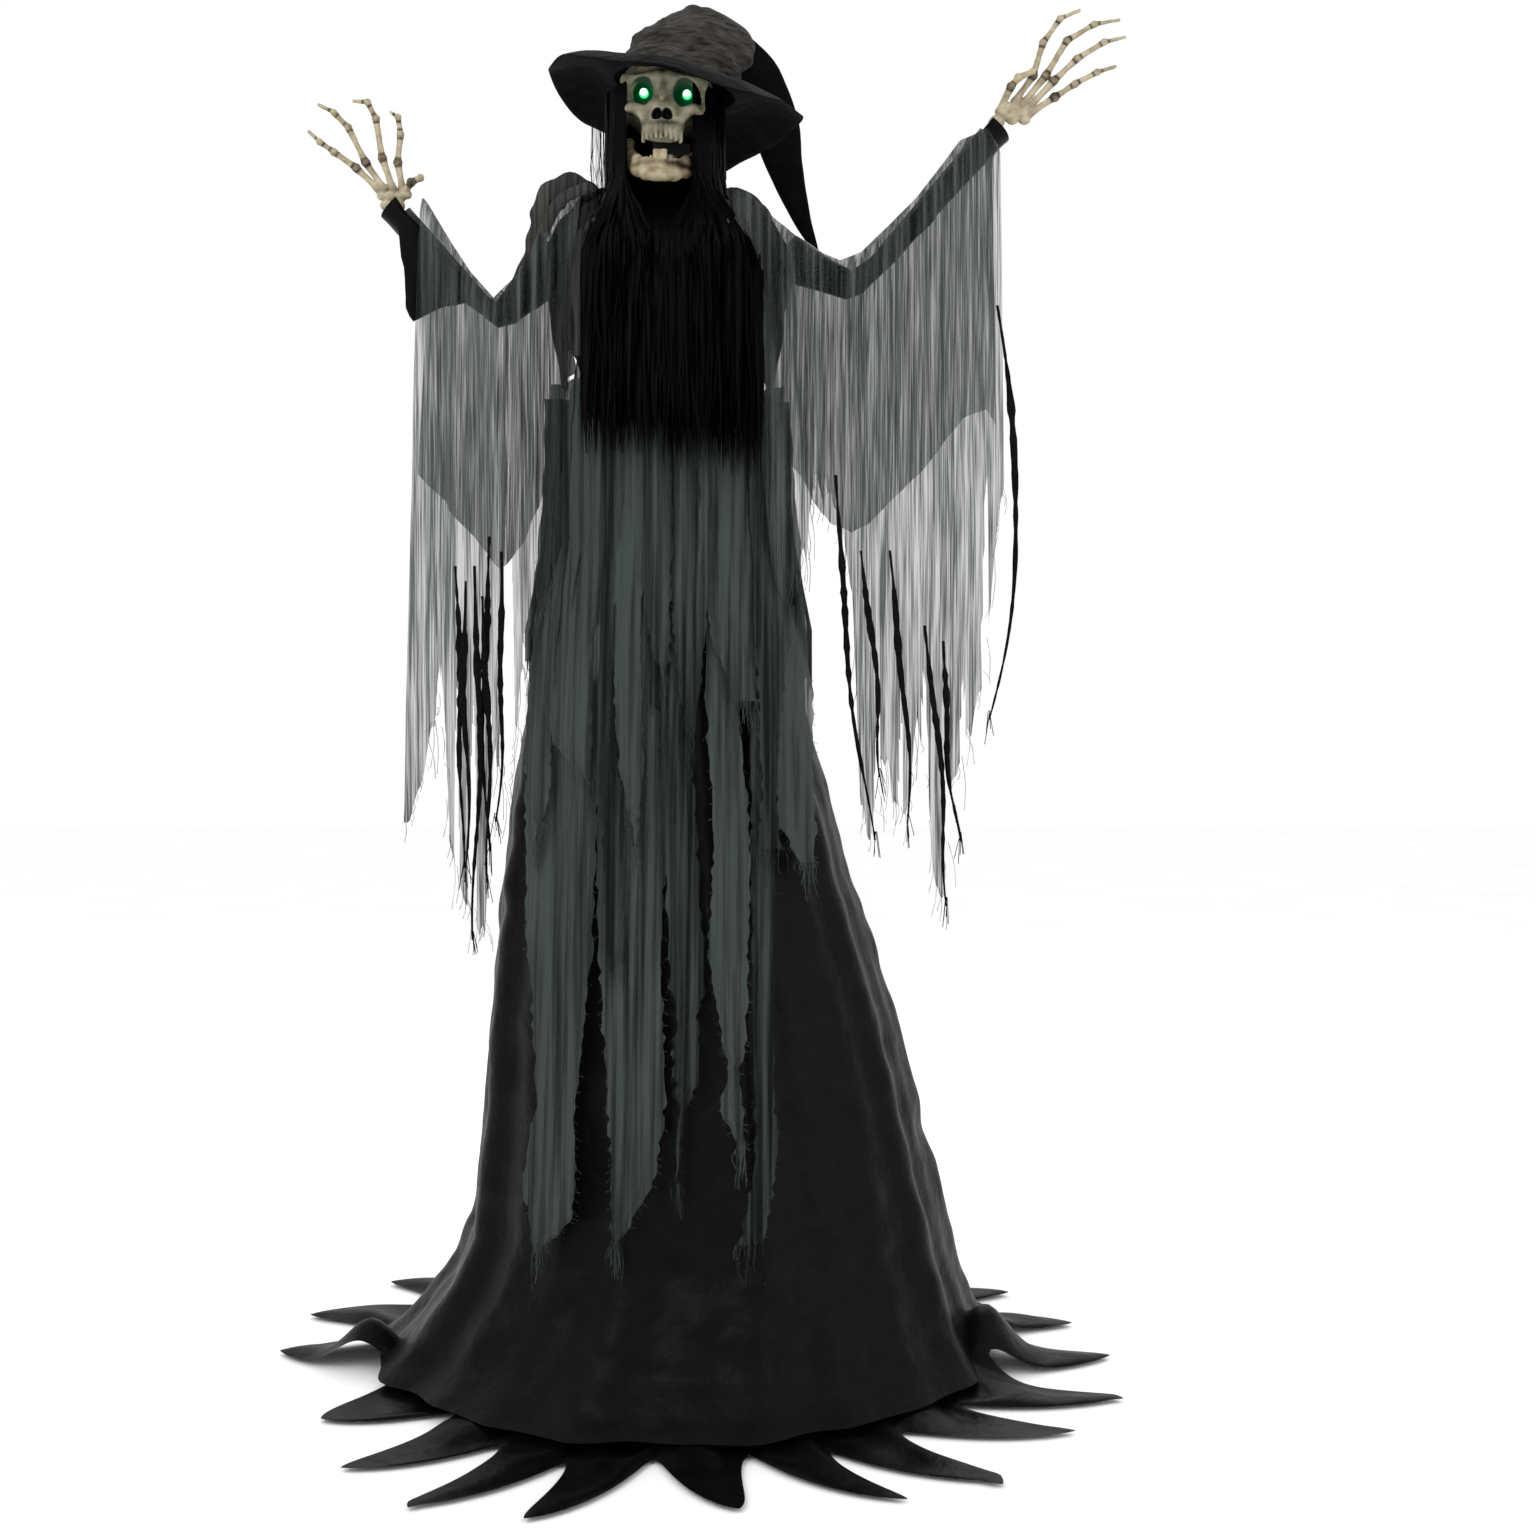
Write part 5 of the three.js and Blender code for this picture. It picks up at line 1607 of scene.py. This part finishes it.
@dataclass
class GauzeSleeve:
    """A torn sheer sleeve, draped over the arm and hanging in a curtain."""

    side: Side
    rng: np.random.Generator
    cut: SleeveCut
    rear_drop: float = 0.36
    swell: float = 0.050  # how far the cloth stands off the middle of the arm

    def arm_depth(self, x: Array) -> Array:
        """The y of the arm's middle below each place on x, from the shoulder to the wrist."""
        return np.interp(np.abs(x), (0.12, 0.24, 0.40), (-0.018, -0.050, -0.080))

    def build(self) -> bpy.types.Object:
        """Makes the curtain with its tears, twisted strips and threads."""
        line = np.array(self.cut.line, float) * MM
        foot = np.array(self.cut.foot, float) * MM
        order = np.argsort(line[:, 0])
        line = line[order]
        x_top = np.linspace(line[0, 0], line[-1, 0], 170)
        z_top = np.interp(x_top, line[:, 0], line[:, 1])
        # from the rear hem, below 0, over the arm to the foot of the curtain
        steps = np.concatenate([
            -np.linspace(1, 0.06, 26), np.linspace(-0.05, 0.05, 7), np.linspace(0.06, 1, 130),
        ])
        foot = foot[np.argsort(foot[:, 0])]
        x_foot = np.interp(x_top, foot[:, 0], foot[:, 1])
        z_foot = np.interp(x_top, foot[:, 0], foot[:, 2])
        z_foot = z_foot + 0.02 * noise3(np.stack([x_top, x_top * 0, x_top * 0], -1), 0.006, 101)
        down = np.abs(steps)[:, None]
        front = steps[:, None] >= 0
        low = np.where(front, z_foot[None, :], (z_top - self.rear_drop)[None, :])
        z = z_top + (low - z_top) * np.clip((down - 0.03) / 0.97, 0, 1)
        x = x_top + (x_foot - x_top) * down**0.8
        swell = self.swell * np.sqrt(np.clip(down / 0.06, 0, 1))
        fold = np.sin(x_top * 210 + 2.2 * np.sin(x_top * 37))[None, :] * 0.006 * np.clip(down * 6, 0, 1)
        billow = noise3(np.stack([x * 1.5, 0 * x, z * 0.4], -1), 0.09, 103) * 0.012 * np.clip(down * 3, 0, 1)
        arm = self.arm_depth(x_top)[None, :]
        y = np.where(front, arm - swell - fold - np.abs(billow), arm + swell + fold)
        keep = np.ones_like(z, bool)
        for middle, top, wide in np.array(self.cut.slits, float) * MM:
            part = np.clip((top - z) / (top - 0.7), 0, 1)
            keep &= ~((np.abs(x - middle) < wide * part**0.7 / 2) & (z < top) & front)
        cloth = Cloth().grid(np.stack([x, y, z], -1), keep=keep[:-1, :-1])
        self.threads(cloth, x[-1], y[-1], z[-1])
        name = f"sheer_sleeve_{self.side.value}"
        made = cloth.build(name, SLEEVE_GAUZE)
        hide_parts(f"gauze_sleeve_{self.side.value}")
        self.bend(made)
        return report(made)

    def bend(self, piece: bpy.types.Object) -> None:
        """Bakes the piece's transform into its mesh."""
        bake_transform(piece)

    def threads(self, cloth: Cloth, x: Array, y: Array, z: Array) -> None:
        """Adds loose threads along the torn foot."""
        for i in range(0, len(x), 2):
            length = 0.07 * self.rng.uniform(0.1, 1.0) ** 2 + 0.01
            start = np.array([x[i], y[i], z[i] + 0.008])
            end = start + [self.rng.normal(0, 0.005), self.rng.normal(0, 0.003), -length]
            middle = (start + end) / 2 + [0.003, 0, 0]
            cloth.ribbon(spline(np.array([start, middle, end]), 7), np.full(7, 0.0009), (1, 0, 0))

    def build_twists(self) -> bpy.types.Object:
        """Makes the black strips that are twisted into strings."""
        cloth = Cloth()
        for i, (x0, z0, x1, z1, bow) in enumerate(np.array(self.cut.twists, float) * MM):
            count = 60
            t = np.linspace(0, 1, count)
            x = x0 + (x1 - x0) * t + bow * np.sin(math.pi * t) + 0.005 * np.sin(t * 8 + 2 * i) * t
            y = self.arm_depth(x) - self.swell - 0.016 - 0.004 * (i % 3)
            path = np.stack([x, y, z0 + (z1 - z0) * t], -1)
            ragged = noise3(path * [0, 0, 1] + [i, 0, 0], 0.012, 113)
            radii = 0.0048 * (1 + 0.35 * ragged) * np.clip(1.25 - t, 0.25, 1) * np.clip(t * 4, 0.4, 1)
            cloth.tube(path, radii, 8, flat=0.3, twist=9.0)
            for _ in range(5):
                start = path[-1] + [self.rng.normal(0, 0.001), 0, 0.012]
                end = start + [self.rng.normal(0, 0.005), 0, -self.rng.uniform(0.02, 0.045)]
                cloth.ribbon(np.linspace(start, end, 4), np.full(4, 0.001), (1, 0, 0))
        made = cloth.build(f"twisted_strips_{self.side.value}", BLACK_GAUZE)
        self.bend(made)
        return report(made)


# ---------- frame and studio ----------
@dataclass
class Hardware:
    """The frame's own metal and plastic pieces, which stay as they are and only get their finishes."""

    nodes: dict[str, bpy.types.Object]
    slots: dict[str, str]

    FINISHES: ClassVar[dict[str, Finish]] = {
        "frame_steel": POWDER_COAT, "zinc_steel": ZINC_PLATE, "black_plastic": MOULDED_ABS,
        "board": SOLDER_MASK, "battery_jacket": SHRINK_FILM,
    }

    def dress(self) -> None:
        """Gives each bare piece the finish of its slot."""
        for name, node in self.nodes.items():
            finish = self.FINISHES.get(self.slots.get(name, ""))
            if finish is None:
                continue
            node.data.materials.clear()
            node.data.materials.append(finish.material())
            LOG.info("%s: %s", name, finish.label)


@dataclass
class Studio:
    """A pale floor, soft white light and the camera."""

    camera_at: tuple[float, float, float] = (0.139, -2.71, 0.867)
    lens: float = 45.7  # in millimetres, on film 36 mm wide
    drop: float = -0.027  # how far the lens is shifted down, as a share of the film's width

    def build(self) -> None:
        """Makes the floor, the lights and the camera."""
        self.floor()
        self.light("key", (-1.6, -2.6, 2.9), size=2.2, power=48)
        self.light("fill", (2.4, -2.2, 1.8), size=2.6, power=24)
        self.light("back", (0.3, 2.6, 2.6), size=2.6, power=30)
        world = bpy.data.worlds.new("white_surround")
        world.use_nodes = True
        surround = world.node_tree.nodes["Background"].inputs
        surround["Color"].default_value = (1, 1, 1, 1)
        surround["Strength"].default_value = 1.0
        bpy.context.scene.world = world
        bpy.context.scene.cycles.transparent_max_bounces = 24
        # true black and white: the default film would lift the blacks of the cloth
        bpy.context.scene.view_settings.view_transform = "Standard"
        camera = bpy.data.cameras.new("camera")
        camera.lens = self.lens
        camera.sensor_width = 36
        camera.shift_y = self.drop
        camera.dof.use_dof = False
        holder = bpy.data.objects.new("camera", camera)
        holder.location = self.camera_at
        holder.rotation_euler = (math.pi / 2, 0, 0)
        bpy.context.scene.collection.objects.link(holder)
        bpy.context.scene.camera = holder

    def floor(self) -> None:
        """Makes the floor as a wide sheet that stands clear below the figure."""
        side = np.linspace(-14, 14, 3)
        x, y = np.meshgrid(side, side)
        made = Cloth().grid(np.stack([x, y, x * 0 - 0.001], -1)).build("studio_floor", FLOOR)

    def light(self, name: str, at: tuple[float, float, float], size: float, power: float) -> None:
        """Adds a soft square lamp that points at the figure's middle."""
        lamp = bpy.data.lights.new(name, "AREA")
        lamp.size = size
        lamp.energy = power
        holder = bpy.data.objects.new(name, lamp)
        holder.location = at
        away = np.array(at) - [0.0, 0.0, 1.0]
        yaw = math.atan2(away[0], -away[1])
        pitch = math.atan2(math.hypot(away[0], away[1]), away[2])
        holder.rotation_euler = (pitch, 0, yaw)
        bpy.context.scene.collection.objects.link(holder)


# ---------- the figure's own measures ----------
ROBE_STRIPS = (
    (3, [
        (1320, -168, -92), (900, -184, -80), (730, -180, -82), (585, -172, -84), (395, -154, -104),
        (300, -172, -100), (255, -164, -106), (215, -154, -140),
    ]),
    (5, [
        (1320, -66, 0), (900, -80, 6), (730, -80, 8), (585, -76, 4), (405, -62, 12), (310, -56, 0),
        (230, -52, -44),
    ]),
    (9, [
        (1290, 0, 44), (850, 0, 40), (735, 6, 48), (540, 16, 60), (505, 26, 50), (460, 20, 56),
        (420, 24, 52), (395, 26, 36), (300, 22, 28),
    ]),
    (7, [
        (1320, 60, 100), (915, 56, 96), (735, 70, 116), (580, 64, 114), (475, 82, 112), (440, 90, 104),
        (390, 80, 108), (345, 102, 108),
    ]),
    (4, [
        (1320, 96, 140), (825, 116, 148), (680, 116, 148), (405, 122, 146), (355, 124, 152),
        (285, 116, 144), (230, 104, 132),
    ]),
    (13, [
        (1340, -160, -124), (900, -182, -144), (785, -176, -144), (715, -162, -156),
    ]),
    (11, [
        (1340, -130, -70), (900, -156, -78), (845, -140, -88), (790, -96, -92),
    ]),
    (15, [
        (1340, -80, -50), (900, -92, -64), (775, -76, -48), (645, -66, -46), (580, -64, -40),
    ]),
    (13, [
        (1340, -50, -20), (980, -68, -28), (825, -52, -20), (710, -32, -28),
    ]),
    (17, [
        (1360, -24, 10), (1085, -30, 12), (980, -16, 12), (930, 0, 8),
    ]),
    (15, [
        (1360, 8, 60), (1085, 8, 64), (955, 20, 56), (860, 32, 44),
    ]),
    (10, [
        (1290, 128, 170), (900, 148, 200), (785, 148, 200), (735, 156, 202), (690, 180, 200),
    ]),
    (16, [
        (1320, 110, 146), (980, 122, 168), (875, 128, 156), (775, 132, 148), (710, 126, 156),
    ]),
    (13, [
        (1360, 50, 112), (1085, 48, 128), (980, 66, 124), (900, 96, 124),
    ]),
)
LEFT_HAND = Hand(
    Side.LEFT,
    fingers=(
        ((-386, 1591), (-414, 1617), (-442, 1636), (-460, 1648), (-473, 1660)),
        ((-378, 1591), (-401, 1624), (-423, 1669), (-441, 1687), (-460, 1696)),
        ((-366, 1591), (-379, 1630), (-386, 1681), (-396, 1701), (-413, 1701)),
        ((-353, 1591), (-358, 1624), (-353, 1660), (-355, 1681), (-364, 1686)),
    ),
    thumb=((-350, 1585), (-338, 1595), (-326, 1601)),
    carpals=(
        (-380, 1582, 8), (-369, 1580, 8.5), (-357, 1580, 9), (-348, 1583, 8), (-374, 1569, 9),
        (-359, 1567, 10), (-363, 1556, 10),
    ),
)
RIGHT_HAND = Hand(
    Side.RIGHT,
    fingers=(
        ((471, 1708), (495, 1741), (507, 1782), (529, 1812), (554, 1822)),
        ((482, 1705), (512, 1741), (539, 1785), (575, 1805), (607, 1809)),
        ((490, 1700), (523, 1734), (553, 1761), (588, 1781), (615, 1786)),
        ((491, 1692), (524, 1712), (550, 1727), (579, 1741), (602, 1747)),
    ),
    thumb=((450, 1694), (464, 1723), (474, 1735), (493, 1743)),
    carpals=(
        (470, 1698, 9), (480, 1692, 9), (484, 1684, 8), (462, 1700, 8), (468, 1686, 10), (455, 1690, 9),
        (447, 1681, 11),
    ),
)
LEFT_SLEEVE = SleeveCut(
    area=0.29,
    line=(
        (-112, 1596), (-140, 1592), (-170, 1540), (-200, 1480), (-231, 1446), (-262, 1480),
        (-292, 1526), (-322, 1576),
    ),
    foot=(
        (-322, -345, 740), (-312, -330, 770), (-300, -308, 860), (-290, -300, 905), (-280, -286, 700),
        (-268, -268, 640), (-250, -250, 600), (-236, -240, 590), (-225, -226, 850), (-210, -212, 760),
        (-190, -196, 900), (-170, -180, 1010), (-112, -150, 1080),
    ),
    slits=(
        (-298, 960, 26), (-276, 930, 8), (-255, 900, 10), (-232, 880, 8), (-210, 1230, 26),
        (-190, 1000, 14),
    ),
    twists=(
        (-276, 1080, -269, 679, 4), (-262, 1060, -258, 690, -3), (-250, 1080, -250, 584, 5),
        (-232, 1120, -236, 700, -4), (-216, 1100, -222, 740, 3), (-240, 1040, -230, 660, 2),
    ),
)
RIGHT_SLEEVE = SleeveCut(
    area=0.44,
    line=(
        (84, 1604), (108, 1596), (130, 1572), (166, 1540), (203, 1511), (235, 1496), (264, 1507),
        (300, 1540), (337, 1576), (366, 1612), (395, 1650), (430, 1664), (446, 1640),
    ),
    foot=(
        (84, 150, 1000), (130, 190, 1100), (166, 203, 1195), (203, 226, 1175), (230, 252, 1060),
        (248, 262, 760), (262, 276, 720), (280, 292, 830), (296, 306, 780), (312, 322, 742),
        (328, 338, 870), (344, 356, 700), (358, 370, 640), (374, 384, 790), (390, 402, 850),
        (410, 420, 900), (430, 440, 1120), (446, 452, 1200),
    ),
    slits=(
        (285, 900, 14), (315, 880, 10), (345, 960, 18), (375, 900, 12), (395, 930, 16), (425, 1200, 16),
    ),
    twists=(
        (229, 1202, 276, 716, -6), (300, 1100, 326, 739, 4), (345, 1000, 376, 631, 4),
        (370, 980, 388, 716, -3), (440, 1420, 431, 876, 30), (262, 1100, 290, 800, 3),
    ),
)


JOINT_OVER_SHAFT_FOOT = 0.044  # the neck joint, in metres over the foot of the neck shaft
HEAD_MIDDLE = (-0.002, 0.008, 1.715)  # middle of the head at brow height
RANDOM_SEED = 20


def main() -> None:
    """Builds the figure on its frame, in order."""
    logging.basicConfig(level=logging.INFO, format="%(message)s")
    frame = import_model()
    rng = np.random.default_rng(RANDOM_SEED)

    Studio().build()
    slots = {part["node"]: part["material_slot"] for part in frame["record"]["subparts"]}
    Hardware(frame["nodes"], slots).dress()

    shaft_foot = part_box("neck_shaft")[0]
    head = Head(neck=shaft_foot[2] + JOINT_OVER_SHAFT_FOOT)
    head.build_skull()
    head.build_jaw()
    for side in Side:
        head.build_lamp(side)

    brim_low, brim_high = (np.array(corner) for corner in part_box("hat_brim"))
    hat = Hat(centre=(brim_low + brim_high) / 2)
    hat.build_crown()
    hat.build_brim()
    hat.build_tail()

    dress = Dress()
    dress.build_skirt()
    dress.build_train()
    Wig(rng, scalp=np.array(HEAD_MIDDLE), dress=dress).build()
    for hand in (LEFT_HAND, RIGHT_HAND):
        hand.build()

    # side, shoulder, elbow, wrist, and the sleeve's stations
    arms = (
        (Side.LEFT, (-0.126, -0.018, 1.540), (-0.223, -0.050, 1.420), (-0.358, -0.080, 1.571),
         ((0, 0.036, 0.0, 0.0), (0.35, 0.024, 0.006, 0), (0.6, 0.022, 0.03, 0), (0.8, 0.026, 0.10, 0.01),
          (0.97, 0.030, 0.17, 0.012), (1.0, 0.031, 0.16, 0.014))),
        (Side.RIGHT, (0.126, -0.018, 1.540), (0.251, -0.050, 1.462), (0.439, -0.080, 1.678),
         ((0, 0.036, 0.0, 0.0), (0.35, 0.024, 0.015, 0), (0.6, 0.022, 0.06, 0), (0.8, 0.026, 0.08, 0),
          (0.97, 0.030, 0.062, 0.0), (1.0, 0.032, 0.055, 0.01))),
    )
    for side, shoulder, elbow, wrist, stations in arms:
        SatinSleeve(side, np.array(shoulder), np.array(elbow), np.array(wrist), stations).build()

    robe = Robe(dress, rng, ROBE_STRIPS, body=(1500, 880, -196, 200))
    robe.build_side(front=True)
    robe.build_side(front=False)
    Shawl().build()
    for side, cut in ((Side.LEFT, LEFT_SLEEVE), (Side.RIGHT, RIGHT_SLEEVE)):
        sleeve = GauzeSleeve(side, rng, cut)
        sleeve.build()
        sleeve.build_twists()


if __name__ == "__main__":
    main()
